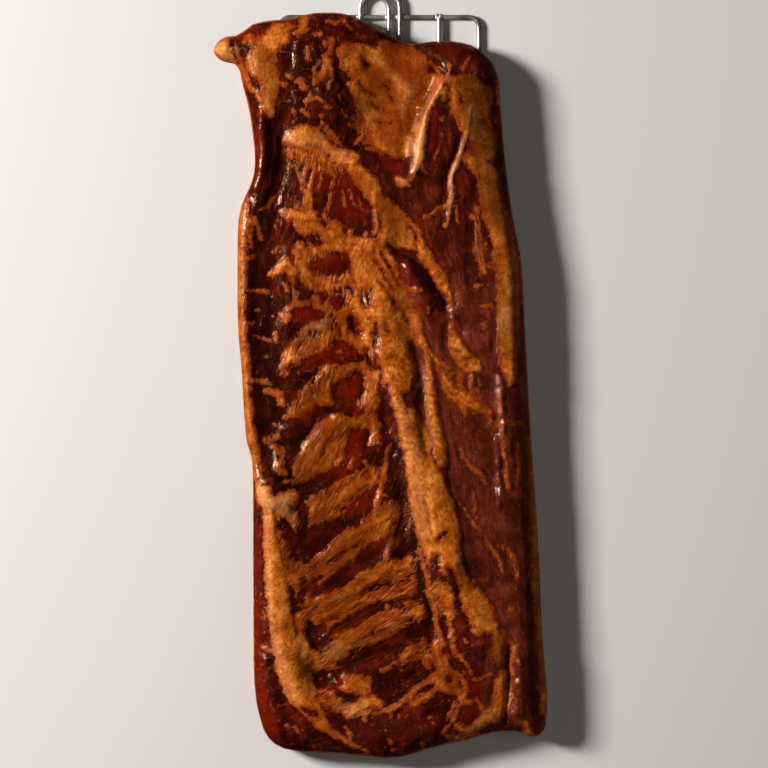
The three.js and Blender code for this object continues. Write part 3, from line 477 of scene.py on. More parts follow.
    # shoulder lip, its dark wedge, and the string of fat
    ("fat", [(54, 268, 3), (49, 257, 3.4), (44, 246, 3.4), (39, 235, 2.6)],
            [(62, 279, 1.4), (61, 270, 2), (57, 263, 2.2), (53, 256, 2.2), (49, 249, 2), (45, 241, 2.2),
             (41, 232, 2.8), (38.5, 221, 4), (37, 210, 4.8), (35.5, 200, 4.8), (33, 190, 3.4),
             (29, 180, 1.4), (26, 176, 1)], [(45, 281, 2), (50, 273, 1.6), (53, 267, 2)]),
    ("lean", [(54, 277, 3.4), (57, 272, 2.6)]),
    ("fat", [(38, 188, 1.2), (41, 183, 1)],
            [(63, 264, 5), (71, 261, 8), (81, 258, 11), (91, 252, 8), (88, 240, 11), (75, 238, 8),
             (81, 222, 9), (91, 216, 10), (93, 202, 9)], [(57, 254, 5), (57, 249, 3)]),
    ("lean", [(84, 280, 4), (82, 272, 2)]),
    ("fat", [(79, 285, 1.4), (76, 280, 1.4), (74, 274, 1.6)]),
    ("lean", [(48, 240, 3), (54, 230, 9), (58, 218, 9), (60, 205, 9), (62, 195, 6)]),
    ("fat", [(64, 264, 5), (66, 252, 5), (67, 240, 4.5), (72, 227, 3.5), (76, 214, 3)],
            [(55, 230, 1.8), (57, 232, 1.2)], [(55, 218, 1.4), (55, 212, 1.1)],
            [(48, 196, 1), (52, 202, 1)],
            [(80, 240, 1.4), (79, 232, 1.8), (78, 222, 1.2), (75, 213, 1.8), (73, 205, 1.6), (70, 197, 2.4),
             (68, 190, 2.8), (64, 185, 2.2), (63, 178, 1.8), (64, 170, 2.6), (65, 164, 2.6), (62, 156, 1.5),
             (62, 148, 1.8), (60, 141, 1.4), (58, 136, 2.6)], [(67, 158, 1), (68, 148, 1.4), (69, 140, 1)],
            [(40, 144, 1.6), (46, 147, 1.3), (52, 152, 1.2), (58, 154, 2)]),
    # fat and lean along the right edge
    ("fat", [(78, 196, 5), (87, 190, 9), (95, 182, 9), (96, 170, 9), (98, 158, 10), (101, 148, 10.5),
             (105, 138, 10.5), (108, 126, 10), (110, 114, 10), (112, 100, 10), (113, 86, 10), (113, 72, 10),
             (113, 60, 9.5), (112, 50, 9), (112, 40, 8.5), (112, 30, 9), (112, 22, 8.5), (113, 12, 6.5),
             (115, 4, 4.5), (114, -3, 1.8)]),
    ("lean", [(101, 258, 2), (102, 240, 2.5), (104, 225, 3), (107, 210, 3), (109, 190, 2.5),
              (111, 175, 2)]),
    ("fat", [(104, 262, 1.5), (104, 245, 1.4)],
            [(82, 145, 2.6), (86, 141, 1.5), (88, 133, 1.6), (88, 122, 1.3), (88, 112, 1.1)],
            [(92, 103, 1.6), (97, 102, 2.2)]),
    ("lean", [(95, 128, 2), (97, 118, 3.5), (95, 111, 2)]),
    ("fat", [(93, 122, 1.2), (94, 118, 1)], [(85, 84, 2), (89, 85, 1.4)], [(91, 66, 1.6), (98, 68, 2)],
            [(104, -8, 1.4), (106, -20, 1.2), (105, -28, 1.8)],
            [(107, -38, 1), (108, -50, 1.5), (109, -62, 0.9), (111, -74, 1.2), (112, -84, 2),
             (115, -94, 1)]),
    ("smear", [(98, -24, 4), (94, -32, 2), (100, -38, 3)]),
    ("fat", [(108, -36, 2), (118, -37, 2.4), (125, -36, 1.5)],
            [(122, -52, 1.2), (122, -70, 1.2), (122, -90, 1.6)],
            [(131, -50, 1.6), (133, -80, 2.4), (135, -110, 3.6), (136, -140, 4.2), (137, -170, 4),
             (139, -200, 3.6), (141, -230, 3.6), (143, -260, 3.8), (144, -290, 4)]),
]

# Where the colour changes: (strength, [(x, y, half width), ...]) in mm, each with a soft edge.
tints = {
    "paleAndHighlight": [  # whitish fat; on the shoulder lip also a painted highlight on its lit face
        (0.7, [(-144, 292, 5), (-134, 290, 8)]),
        (0.3, [(-73, 214, 6), (-56, 211, 7), (-42, 200, 4), (-22, 195, 3)]),
        # the shoulder lip: whitish fat with a painted highlight where it faces the light
        (0.3, [(60, 274, 1), (53, 257, 1.5), (43, 241, 1)]),
        (1, [(40, 232, 1), (37, 221, 3), (36, 208, 4), (35, 196, 3.6), (32, 183, 1)]),
        (0.5, [(17, 177, 2), (23, 175, 3)]),
        (0.25, [(80, 240, 3), (78, 222, 3), (73, 205, 3), (68, 190, 4), (63, 178, 3), (64, 165, 4),
                (58, 136, 3)]),
        (1, [(-103, -94, 6), (-98, -106, 6), (-84, -106, 8), (-80, -116, 6)]),
        (0.4, [(-100, -118, 4), (-98, -150, 4), (-97, -190, 5), (-93, -225, 6), (-86, -255, 6),
               (-76, -280, 5)]),
        (0.3, [(16, -20, 5), (25, -50, 6), (32, -90, 8), (40, -130, 8)]),
        (0.4, [(-62, 44, 6), (-50, 52, 5)]),
        (0.3, [(-24, -290, 5), (-14, -284, 6), (-39, -282, 4), (-12, -296, 3)]),
        (0.3, [(-44, -238, 6), (-34, -234, 6)]),
        (0.2, [(88, -300, 5), (98, -293, 6)]),
        (0.5, [(44, -62, 3), (52, -40, 3)]),
        (0.3, [(-45, 279, 4)]),
        (0.5, [(106, 48, 6), (113, 62, 5)]),
    ],
    "amber": [  # thin clear fat, a deep orange; on the membrane's right side it is also painted shade
        (1, [(2, 298, 5), (16, 288, 12), (28, 278, 14), (39, 262, 9), (31, 240, 7), (24, 222, 5)]),
        (0.7, [(-6, 272, 8), (6, 256, 10), (10, 236, 12), (10, 214, 10)]),
        (0.6, [(-20, 178, 8), (-10, 160, 7), (8, 148, 9), (20, 134, 8)]),
        (0.5, [(-45, 50, 30), (-42, -20, 34), (-40, -100, 34), (-34, -180, 34), (-20, -240, 26)]),
        (0.5, [(18, 100, 10), (20, 60, 8), (28, 30, 8)]),
        (0.9, [(-30, -193, 4), (-12, -184, 5), (8, -173, 6)]),
        (0.8, [(-30, -152, 4), (-12, -140, 5)]),
        (0.7, [(58, -256, 8), (66, -268, 6)]),
    ],
    "dullAndShade": [  # fat made duller and darker here and there, and painted shade down the right side where the fat turns from the light
        (0.6, [(-108, 284, 12), (-97, 270, 12), (-96, 244, 8)]),
        (0.5, [(-62, 110, 8), (-66, 60, 10), (-62, 10, 10), (-60, -50, 12), (-58, -110, 12),
               (-52, -170, 12)]),
        (0.5, [(-122, 150, 5), (-125, 90, 6), (-123, 30, 6), (-117, -30, 5), (-110, -70, 5)]),
        (0.4, [(20, 268, 20), (10, 240, 18), (20, 210, 12)]),
        (0.9, [(82, 255, 14), (86, 235, 12), (90, 205, 9), (94, 175, 9), (100, 145, 9)]),
        # painted shade down the right side
        (0.4, [(108, 110, 10), (113, 70, 10), (112, 30, 9)]),
        (0.6, [(-22, 246, 10), (-10, 232, 10), (2, 222, 9)]),
        (0.5, [(-66, -166, 6), (-40, -156, 7), (-14, -142, 6)]),
        (0.4, [(-16, -228, 6), (8, -222, 6), (24, -214, 5)]),
        (0.7, [(131, -50, 4), (135, -140, 6), (142, -260, 7)]),
        (0.4, [(-60, -120, 6), (-62, -136, 6), (-70, -160, 6)]),
        (0.5, [(104, -226, 6), (106, -245, 6), (118, -230, 6)]),
        (0.4, [(34, -20, 5), (36, -50, 6)]),
    ],
    "brownAndShade": [  # fat brown at the shoulder, and painted shade down the right side where it turns from the light and on the membrane's wall by the lip
        (0.7, [(84, 262, 9), (90, 236, 10), (93, 208, 9)]),
        (0.5, [(74, 244, 4), (80, 224, 4)]),
        # painted shade on the membrane's wall beside the lip
        (0.8, [(50, 270, 1.5), (44, 256, 3), (37, 241, 3), (33, 228, 3), (30, 214, 2), (28, 204, 2)]),
        (0.4, [(30, 268, 6), (28, 250, 6), (22, 236, 5)]),
        # painted shade down the right side, where the fat turns from the light
        (0.8, [(103, 196, 6), (106, 170, 7), (110, 146, 7), (114, 120, 6)]),
        (0.6, [(116, 110, 5), (119, 70, 5), (119, 30, 5)]),
        (0.6, [(16, -104, 2), (11, -136, 2), (7, -152, 2)]),
    ],
    "darkAndShade": [  # lean darkened by smoke, and painted shade in the furrow beside the left rim, in the grooves below the rib bars and along the right edge
        # painted shade in the furrow that the raised left rim shades
        (0.95, [(-104, 140, 10), (-104, 90, 12), (-103, 40, 12), (-100, 0, 12), (-94, -50, 10),
                (-86, -80, 9)]),
        (0.8, [(-74, 288, 12), (-60, 280, 12), (-62, 258, 12), (-76, 248, 9)]),
        (0.6, [(-92, 226, 8), (-90, 200, 9), (-94, 165, 9)]),
        (0.4, [(-80, -312, 8)]),
        (0.55, [(-34, -308, 12), (0, -306, 14), (30, -302, 14), (54, -296, 10)]),
        (0.55, [(0, -262, 8), (14, -268, 10)]),
        (0.4, [(74, -232, 8), (80, -250, 8)]),
        (0.3, [(-20, -246, 6), (10, -236, 7), (36, -222, 7)]),
        (0.6, [(14, -50, 5), (18, -90, 6), (20, -135, 9)]),
        # painted shade along the right edge, where it turns from the light
        (0.6, [(118, -110, 8), (126, -160, 8), (130, -220, 7)]),
        (0.5, [(40, 260, 5), (34, 232, 4)]),
        (0.6, [(96, 260, 5), (100, 230, 5), (104, 195, 5)]),
        (0.3, [(58, 291, 6), (80, 289, 7), (94, 278, 7), (101, 266, 4)]),
        (0.5, [(80, 100, 10), (84, 84, 10)]),
        (0.6, [(16, -100, 6), (20, -140, 8), (34, -172, 5), (42, -210, 7)]),
        (0.8, [(-24, -124, 5), (-42, -130, 8), (-60, -150, 8)]),
        (0.7, [(-42, -180, 6), (-28, -170, 6), (-6, -152, 6)]),
        (0.6, [(-34, -216, 6), (-16, -206, 6), (8, -198, 6)]),
        (0.6, [(-90, 190, 8), (-84, 170, 8), (-86, 200, 6)]),
        (0.8, [(-50, 254, 8), (-36, 244, 9)]),
        (0.5, [(-50, 240, 10), (-44, 306, 10)]),
        (0.6, [(-52, -138, 9), (-34, -124, 6)]),
        # painted shade in the grooves below the third, fourth and fifth rib bars
        (0.8, [(-84, -2, 6), (-68, 0, 6), (-56, 8, 4)]),
        (0.9, [(-84, -58, 7), (-72, -60, 9), (-66, -48, 6)]),
        (0.9, [(-78, -96, 7), (-62, -97, 9), (-42, -86, 6)]),
        (0.6, [(-68, -122, 8), (-72, -144, 7)]),
        (0.5, [(-74, -136, 6), (-70, -156, 5)]),
        (0.7, [(-57, -222, 6), (-48, -260, 8)]),
        (0.7, [(128, -240, 8), (129, -290, 9)]),
    ],
    "wet": [  # where the gloss stands in beads
        (1, [(-80, 318, 5), (-74, 305, 6), (-76, 292, 5)]),
        (0.8, [(-46, 274, 4), (-44, 262, 3)]),
        (0.8, [(-68, 244, 5), (-60, 236, 4)]),
        (1, [(-105, 220, 3), (-106, 200, 3), (-112, 178, 3), (-118, 160, 3)]),
        (0.7, [(-118, 140, 3), (-119, 90, 3), (-118, 30, 3), (-113, -30, 3), (-108, -80, 4)]),
        (1, [(26, 96, 4), (33, 84, 5), (34, 62, 5), (40, 52, 4), (46, 40, 5)]),
        (0.9, [(56, 262, 1), (49, 252, 0.5), (41, 235, 1), (38, 210, 2.5), (35, 192, 2), (33, 182, 1)]),
        (0.5, [(78, 226, 3), (70, 197, 3), (64, 165, 3)]),
        (1, [(102, 4, 5), (103, -20, 6), (104, -60, 6), (103, -112, 6)]),
        (0.6, [(106, -148, 3), (107, -174, 3)]),
        (0.6, [(84, 10, 8), (86, -14, 8), (78, 40, 5), (64, 68, 4)]),
        (0.6, [(14, -16, 3), (18, -50, 3), (22, -74, 4), (28, -104, 4), (34, -134, 4), (44, -156, 4)]),
        (0.7, [(118, -236, 3), (117, -262, 2), (118, -290, 2)]),
        (0.2, [(-24, -252, 3), (-14, -254, 3)]),
        (0.6, [(-108, -118, 4), (-110, -200, 4), (-106, -262, 5), (-96, -296, 6)]),
        (0.6, [(-50, 248, 10), (-30, 252, 5), (8, 192, 5), (-8, 196, 4)]),
        (0.5, [(-60, -306, 10), (-10, -306, 10), (40, -302, 10)]),
    ],
    "matt": [  # hollows that catch no light
        (1, [(48, 276, 5), (44, 262, 6), (36, 248, 6), (30, 232, 5), (27, 212, 4)]),
        (1, [(-84, 206, 6), (-80, 186, 8), (-82, 164, 7)]),
        (0.7, [(-88, 100, 6), (-86, 60, 6)]),
        (1, [(-34, -262, 5), (-28, -264, 4)]),
        (1, [(-64, 194, 3), (-62, 170, 3)]),
    ],
    "flecked": [  # lean with specks of fat
        (1, [(-72, 296, 16), (-58, 284, 16), (-62, 260, 16), (-76, 248, 10)]),
        (0.5, [(-70, 312, 10), (-20, 308, 10)]),
        (0.7, [(-60, -306, 14), (-10, -306, 16), (50, -300, 14), (10, -266, 10)]),
        (0.8, [(-106, -180, 4), (-104, -250, 6), (-90, -300, 8)]),
        (0.7, [(70, -230, 10), (78, -252, 8)]),
        (0.8, [(-44, 252, 10), (-30, 238, 8)]),
        (0.4, [(10, -40, 6), (18, -120, 7)]),
        (0.6, [(20, -256, 14), (70, -290, 10)]),
    ],
    "ruby": [  # lean with the light coming through it
        (0.8, [(-57, 103, 6), (-34, 102, 7)]),
        (0.9, [(-68, 61, 5), (-46, 60, 5)]),
        (0.9, [(-40, 74, 5), (-34, 56, 5)]),
        (0.8, [(-62, 20, 6), (-30, 28, 7)]),
        (1, [(-28, -10, 7), (-22, -2, 6)]),
        (0.9, [(-20, -46, 7), (-28, -80, 6)]),
        (0.6, [(-26, -112, 5), (-4, -100, 6)]),
        (0.5, [(-12, -154, 6), (-2, -150, 6)]),
        (0.6, [(24, 98, 7), (38, 72, 8), (52, 44, 9)]),
        (0.8, [(-114, 230, 4), (-106, 200, 6), (-113, 172, 4)]),
        (1, [(-108, -130, 4), (-110, -200, 5), (-106, -270, 7), (-94, -304, 8)]),
        (0.6, [(-30, -306, 10), (10, -308, 10), (50, -300, 8)]),
        (0.5, [(119, -240, 3), (119, -290, 4)]),
        (0.7, [(58, -236, 8), (62, -262, 13), (84, -272, 9), (76, -296, 7)]),
        (0.8, [(50, 236, 4), (48, 220, 5), (48, 204, 5)]),
        (0.8, [(-54, 180, 8), (-34, 168, 10), (-16, 150, 8), (-40, 152, 8)]),
        (0.3, [(-50, 244, 10), (-34, 238, 8)]),
        (0.6, [(-40, 306, 10)]),
        (0.6, [(8, 192, 6), (20, 184, 6)]),
        (0.6, [(60, 290, 7), (84, 288, 7), (98, 274, 6)]),
    ],
}

# Forms finer than the frame's own: (height, [(x, y, half width), ...]) in mm.
# A height below 0 sinks.
forms = [
    # left edge: the rim and the furrow beside it
    (2.2, [(-117, 166, 4), (-119, 140, 4.5), (-120, 100, 4.5), (-119, 60, 4.5), (-118, 20, 4.5),
           (-115, -20, 4.5), (-111, -55, 4), (-107, -85, 4)]),
    (-2.2, [(-104, 140, 6), (-107, 100, 7), (-107, 50, 7), (-105, 0, 7), (-100, -45, 7), (-97, -80, 5)]),
    (2.2, [(-104, 228, 4), (-104, 205, 4), (-105, 188, 4), (-111, 173, 4)]),
    (1.8, [(-77, 210, 9), (-77, 190, 9), (-80, 172, 9), (-83, 158, 8)]),
    # the furrow beside the shoulder lip, the lip, and the knob on the tendon band
    (-4, [(50, 277, 5), (44, 262, 5.5), (37, 248, 5.5)]),
    (-3.2, [(32, 235, 5), (28, 221, 5)]),
    (-3, [(23, 210, 5), (21, 198, 4.5)]),
    (0.8, [(61, 272, 2), (54, 258, 2.2), (45, 242, 2.4), (40, 230, 3), (38, 215, 4), (36, 198, 3.6),
           (30, 181, 2.2)]),
    (1.2, [(18, 177, 2.4), (23, 175, 2.6)]),
    # the lean beside the lip, the right edge, and the knotted string of fat
    (0.8, [(54, 236, 5), (55, 222, 7), (55, 208, 7), (52, 194, 6)]),
    (1.6, [(100, 236, 6), (103, 200, 6), (108, 160, 6), (114, 120, 6), (117, 80, 6), (117, 40, 6),
           (116, 0, 6)]),
    (0.8, [(80, 240, 1.6), (78, 222, 1.6), (73, 205, 1.8), (68, 190, 2.2), (63, 178, 1.8), (64, 165, 2),
           (61, 145, 1.8), (58, 136, 2)]),
    (0.6, [(74, 208, 2), (73, 204, 2)]),
    (0.7, [(69, 193, 2.2), (67, 188, 2.2)]),
    (0.6, [(64, 178, 2), (65, 174, 2)]),
    (0.7, [(65, 163, 2), (64, 158, 2)]),
    (0.6, [(62, 149, 2), (61, 145, 2)]),
    (0.9, [(67, 158, 1.8), (68, 148, 2), (69, 140, 1.8)]),
    (-1.2, [(72, 212, 4), (66, 196, 3), (57, 172, 3), (56, 150, 3)]),
    # the diaphragm roll between its furrows
    (-2.8, [(8, 120, 2.5), (18, 115, 3), (27, 109, 3.5), (34, 102, 4), (39, 95, 4), (44, 87, 4),
            (48, 79, 4), (54, 71, 4), (59, 62, 3.5)]),
    (3.6, [(24, 102, 4.5), (30, 92, 5.5), (36, 82, 6), (42, 72, 6.5)]),
    (-1.4, [(50, 54, 7), (54, 42, 7), (57, 30, 6)]),
    (2.4, [(62, 62, 5), (68, 47, 6), (72, 36, 5)]),
    (0.9, [(24, 94, 1.8), (27, 86, 1.8)]),
    (0.9, [(30, 76, 1.6), (33, 70, 1.8)]),
    (-1.2, [(16, 98, 5), (22, 84, 6), (28, 66, 6), (36, 50, 5)]),
    # the crests of the central column, the furrows along them, and the ridge
    (1.8, [(34, 52, 4), (39, 36, 4), (43, 18, 4.5), (45, -5, 5), (48, -30, 5), (53, -55, 6), (56, -84, 6)]),
    (1.6, [(10, 4, 4), (16, -18, 6), (23, -42, 7), (28, -62, 7), (31, -84, 8)]),
    (-2.4, [(31, 33, 4), (35, 12, 5), (36, -10, 5), (37, -30, 5), (40, -50, 5), (43, -66, 4)]),
    (-2.2, [(4, -14, 5), (8, -40, 6), (13, -66, 6), (18, -92, 6), (21, -118, 6), (16, -142, 8),
            (22, -150, 7)]),
    (2.4, [(46, -72, 9), (56, -106, 12), (62, -136, 11), (67, -156, 8)]),
    (-1.4, [(40, -100, 1.6), (44, -118, 1.8), (47, -133, 1.6)]),
    # the wet edge on the right, with its beads
    (1.6, [(108, -2, 6), (110, -22, 6), (112, -45, 6), (114, -70, 6), (113, -100, 6)]),
    (2, [(105, 5, 2.4), (106, -1, 2.4)]),
    (2, [(107, -8, 2.6), (107, -15, 2.6)]),
    (1.8, [(108, -21, 2.4), (108, -27, 2.4)]),
    (1.4, [(109, -35, 2.2), (109, -42, 2.2)]),
    (1, [(98, -26, 2), (99, -36, 2.2)]),
    (1, [(110, -56, 2), (111, -66, 2.2)]),
    (1, [(82, 8, 2), (83, -2, 2)]),
    (0.9, [(78, 42, 1.8), (79, 34, 1.8)]),
    (2.2, [(104, -50, 2.6), (104, -60, 2.6)]),
    (2.3, [(105, -67, 2.6), (105, -74, 2.6)]),
    (2, [(105, -81, 2.6), (105, -88, 2.6)]),
    (1.5, [(106, -94, 2.4), (106, -99, 2.4)]),
    (1.4, [(105, -106, 2.4), (105, -111, 2.4)]),
    (1, [(108, -150, 2.4), (109, -172, 2.4)]),
    (-1.2, [(95, 0, 7), (98, -30, 8), (101, -60, 8), (102, -90, 7)]),
    # ribs: a bar of lean or fat stands up, and the furrow below it lies in its shade
    (0.9, [(-60, 104, 6), (-40, 103, 8)]),
    (1.2, [(-76, 62, 4), (-62, 61, 5), (-50, 59, 4)]),
    (1.3, [(-78, 16, 4), (-62, 21, 6), (-45, 27, 7), (-28, 29, 6)]),
    (-3, [(-86, -2, 6), (-70, 0, 6), (-58, 6, 5), (-50, 11, 3)]),
    (1, [(-62, -14, 6), (-52, -8, 7), (-44, -16, 5)]),
    (1.3, [(-84, -42, 4), (-72, -37, 5), (-62, -28, 4), (-48, -24, 4)]),
    (-3, [(-84, -56, 6), (-72, -55, 6), (-62, -47, 5), (-56, -38, 4), (-44, -31, 3)]),
    (1.2, [(-60, -73, 7), (-52, -62, 7), (-44, -46, 6)]),
    (-3, [(-80, -95, 6), (-62, -92, 6), (-46, -86, 5), (-34, -80, 4)]),
    (1.2, [(-56, -112, 6), (-42, -106, 6), (-28, -97, 6), (-12, -86, 5)]),
    (-2.4, [(-58, -146, 6), (-46, -134, 6), (-34, -126, 5), (-20, -121, 4)]),
    (1.2, [(-44, -154, 6), (-24, -140, 6), (-8, -130, 6), (6, -120, 5)]),
    (-2, [(-46, -182, 4), (-28, -169, 5), (-8, -154, 6), (3, -147, 5)]),
    (1.1, [(-46, -194, 6), (-28, -186, 7), (-8, -176, 7), (12, -167, 6)]),
    (-1.8, [(-40, -218, 4), (-20, -207, 5), (0, -199, 5), (14, -194, 4)]),
    (1.1, [(-38, -236, 6), (-20, -226, 6), (0, -216, 6), (18, -211, 5)]),
    (-1.6, [(-24, -247, 5), (-4, -238, 6), (14, -232, 6), (32, -220, 6)]),
    # pits, the slit in the corner and the roll beside it
    (-3, [(-24, 55, 4), (-21, 48, 5), (-18, 43, 3.5)]),
    (-2.4, [(-11, 28, 3), (-9, 18, 3), (-4, 10, 3)]),
    (-1, [(-54, -261, 8), (-48, -260, 8)]),
    (-2.6, [(-60, -211, 4), (-57, -222, 6), (-54, -232, 5)]),
    (-3, [(45, -196, 4), (46, -214, 5), (46, -228, 4)]),
    (-1.6, [(56, -203, 3.5), (57, -214, 3.5), (59, -222, 3)]),
    (-3, [(112, -238, 2), (113, -258, 2.2), (112, -278, 2.2), (110, -300, 2.4)]),
    (0.8, [(120, -240, 3), (119, -262, 3.5), (120, -290, 4)]),
    # the membrane and its wrinkles
    (-2, [(54, 275, 3), (56, 268, 2.5)]),
    (-2.4, [(-36, 269, 3), (-31, 262, 4)]),
    (-2, [(-21, 219, 5), (-26, 212, 4)]),
    (-0.8, [(-12, 281, 3.5), (-9, 277, 3.5)]),
    (1, [(-20, 286, 4), (-17, 278, 3.5)]),
    (0.6, [(-26, 262, 3), (-14, 252, 3.5), (-2, 246, 3)]),
    (0.6, [(-10, 240, 3), (2, 232, 3.5), (14, 230, 3)]),
    (1.2, [(-4, 166, 2.2), (-3, 150, 2.2), (-1, 134, 2.2)]),
    # knots of the brisket knob, and strands over the first ribs
    (1, [(-52, 258, 3), (-50, 250, 3)]),
    (1, [(-40, 250, 3), (-38, 243, 3)]),
    (1, [(-46, 238, 3), (-40, 232, 3)]),
    (0.9, [(-58, 268, 2.6), (-56, 262, 2.6)]),
    (0.9, [(-70, 282, 2.4), (-68, 276, 2.4)]),
    (0.9, [(-58, 292, 2.4), (-54, 290, 2.4)]),
    (0.5, [(-62, 193, 1.8), (-66, 176, 1.8)]),
    (0.5, [(-55, 192, 1.8), (-60, 170, 1.8)]),
    # the tag, the lump of pale fat, the belly fat band, and hollows at the lower end
    (-2, [(-86, -88, 4), (-92, -92, 3)]),
    (2.5, [(-101, -97, 5), (-92, -106, 6), (-80, -106, 7)]),
    (2, [(-91, -59, 3), (-88, -72, 4)]),
    (2.4, [(-60, -291, 5), (-70, -272, 8), (-80, -240, 9)]),
    (-1.6, [(66, -247, 4), (74, -254, 3)]),
    (-1.8, [(52, -282, 5), (66, -276, 5)]),
]

slab = {
    "cell": 1.65,                # mm, the mesh's faces on the rib side and the edges
    "smoothing": 6,
    "givenBack": 1.5,            # mm, what the smoothing takes off the edges
    "undersideShare": 0.1,       # of the faces that the flat underside keeps
    "flatBelow": 0.6,            # mm, what lies lower than this rests on the floor
    "prongHole": 3.2,            # mm, a little more than each hole's radius
    "prongReach": (256, 273),    # mm, between which all the holes lie
    "prongTop": 25,
    "prongCeiling": 7.6,         # mm, a face that looks down from higher than this ends a hole
    "reach": 8,                  # mm, how far from its edge a stroke is still felt
    "filmThickness": 1.2,        # mm, in the middle of a broad stroke
    "filmSlope": 0.5,            # how slowly a film thickens from its edge
    "smearThickness": 0.2,
    "smearSlope": 0.3,
    "ragged": ((0.8, 11), (1.0, 5), (0.6, 2.6)),  # mm, how far and how often fat's edge wanders
    "layerPitch": 15.5,          # mm, from one streak of lean to the next on the cut sides
    "layerHeight": 5,
    "fatHeight": 0.6,            # mm, fat stands above its surroundings
    "leanDepth": 0.35,           # mm, lean has shrunk along its edges
    "leanBulge": 1.0,            # mm, and is full again in the middle of a bar
    "grainWidth": 3.4,           # mm, one bundle of muscle fibre
    "grainLength": 26,
    "grainHeight": 0.18,
    "grains": (80, 58, 33, 98),  # degrees, the fibres of the upper, middle and lower ribs and the flank
    "tintEdge": 4,               # mm, half the width of a change of colour
}


def noiseAt(points, size, seed):
    # smooth noise from -1 to 1 at points in mm, its lumps about one size across
    scaled = points / size + seed * 17.31
    cell = np.floor(scaled).astype(np.int64)
    part = smoothStep(scaled - cell)
    total = np.zeros(len(points))
    for corner in range(8):
        step = np.array([corner & 1, corner >> 1 & 1, corner >> 2 & 1])
        weight = np.prod(np.where(step, part, 1 - part), axis=1)
        key = (cell + step) @ np.array([73856093, 19349663, 83492791]) + seed * 2654435
        key = (key ^ key >> 13) * 1274126177 & 0x7fffffff
        total += weight * ((key ^ key >> 16) % 10007 / 5003.5 - 1)
    return total


def wander(points, seed):
    # how far the ragged edge of the fat strays from its stroke at points, in mm
    return sum(far * noiseAt(points, size, seed + i) for i, (far, size) in enumerate(slab["ragged"]))


def strokeDistance(x, y, stroke, reach):
    # how far inside a stroke each point is, in mm, negative outside; -reach where it is further than that
    knots = np.array(stroke if len(stroke) > 1 else stroke * 2, float)
    most = knots[:, 2].max() + reach
    near = (x > knots[:, 0].min() - most) & (x < knots[:, 0].max() + most)
    near &= (y > knots[:, 1].min() - most) & (y < knots[:, 1].max() + most)
    near = np.nonzero(near)[0]
    inside = np.full(len(near), -float(reach))
    for (ax, ay, aw), (bx, by, bw) in zip(knots[:-1], knots[1:]):
        dx, dy = bx - ax, by - ay
        along = ((x[near] - ax) * dx + (y[near] - ay) * dy) / max(dx * dx + dy * dy, 1e-9)
        along = np.clip(along, 0, 1)
        away = np.hypot(x[near] - ax - along * dx, y[near] - ay - along * dy)
        inside = np.maximum(inside, aw + along * (bw - aw) - away)
    return near, inside


def paintMarbling(x, y):
    # above 0 in fat and below 0 in lean, in mm from the line between them, and how much is a film
    reach = slab["reach"]
    field = np.full(len(x), -float(reach))
    filmy = np.zeros(len(x))
    strokes = [(kind, stroke) for kind, *group in marbling for stroke in group]
    for kind, stroke in strokes:
        near, inside = strokeDistance(x, y, stroke, reach)
        if kind == "lean":
            field[near] = np.minimum(field[near], -inside)
            continue
        if kind == "film":
            filmy[near] = np.maximum(filmy[near], smoothStep((inside + 3) / 5))
        if kind != "fat":
            inside = np.minimum(inside * slab[kind + "Slope"], slab[kind + "Thickness"])
        field[near] = np.maximum(field[near], inside)
    return np.clip(field, -reach, reach), filmy


def paintTint(strokes, x, y):
    soft = slab["tintEdge"]
    tint = np.zeros(len(x))
    for strength, stroke in strokes:
        near, inside = strokeDistance(x, y, stroke, soft)
        tint[near] = np.maximum(tint[near], strength * smoothStep((inside + soft) / (2 * soft)))
    return tint


def paintForms(x, y):
    height = np.zeros(len(x))
    for rise, stroke in forms:
        knots = np.array(stroke, float)
        wide = knots[:, 2].mean()
        near, inside = strokeDistance(x, y, stroke, wide * 2)
        away = np.maximum(wide - inside, 0) / wide
        height[near] += rise * np.exp(-away * away)
    return height


def facing(normals):
    # how far each point belongs to the rib side, and how far to the underside
    return smoothStep((normals[:, 2] - 0.12) / 0.4), smoothStep((-normals[:, 2] - 0.35) / 0.4)


def copyFrameNode(nodeName, name):
    piece = bpy.data.objects.new(name, frame["nodes"][nodeName].data.copy())
    bpy.context.collection.objects.link(piece)
    piece.data.materials.clear()
    selectOnly(piece)
    bpy.ops.object.mode_set(mode="EDIT")
    bpy.ops.mesh.select_all(action="SELECT")
    bpy.ops.mesh.remove_doubles(threshold=0.00001)
    bpy.ops.object.mode_set(mode="OBJECT")
    return piece


def selectFaces(piece, chosen):
    # object mode selection of the faces that chosen picks by centre and normal
    for part in (piece.data.vertices, piece.data.edges, piece.data.polygons):
        part.foreach_set("select", [False] * len(part))
    for face in piece.data.polygons:
        face.select = chosen(face.center, face.normal)


def vertexArray(mesh, what):
    values = np.empty(len(mesh.vertices) * 3, np.float32)
    if what == "normal":
        mesh.vertex_normals.foreach_get("vector", values)
    else:
        mesh.vertices.foreach_get("co", values)
    return values.reshape(-1, 3).astype(float)


def addField(mesh, name, values):
    mesh.attributes.new(name, "FLOAT", "POINT").data.foreach_set("value", values.astype(np.float32))


def closeProngHoles(piece, values):
    # so that the prongs simply enter the meat
    first, last = values["prongReach"]

    def isHole(centre, normal):
        x, y, z = centre / mm
        if not first < y < last or z >= values["prongTop"]:
            return False
        besideProng = any(abs(x - prong) < values["prongHole"] for prong in prongPlaces)
        return besideProng and (normal.z > -0.9 or z > values["prongCeiling"])

    selectFaces(piece, isHole)
    bpy.ops.object.mode_set(mode="EDIT")
    bpy.ops.mesh.delete(type="FACE")
    bpy.ops.mesh.select_mode(type="EDGE")
    bpy.ops.mesh.select_non_manifold()
    bpy.ops.mesh.fill_holes(sides=0)
    bpy.ops.mesh.select_all(action="SELECT")
    bpy.ops.mesh.delete_loose()
    bpy.ops.object.mode_set(mode="OBJECT")


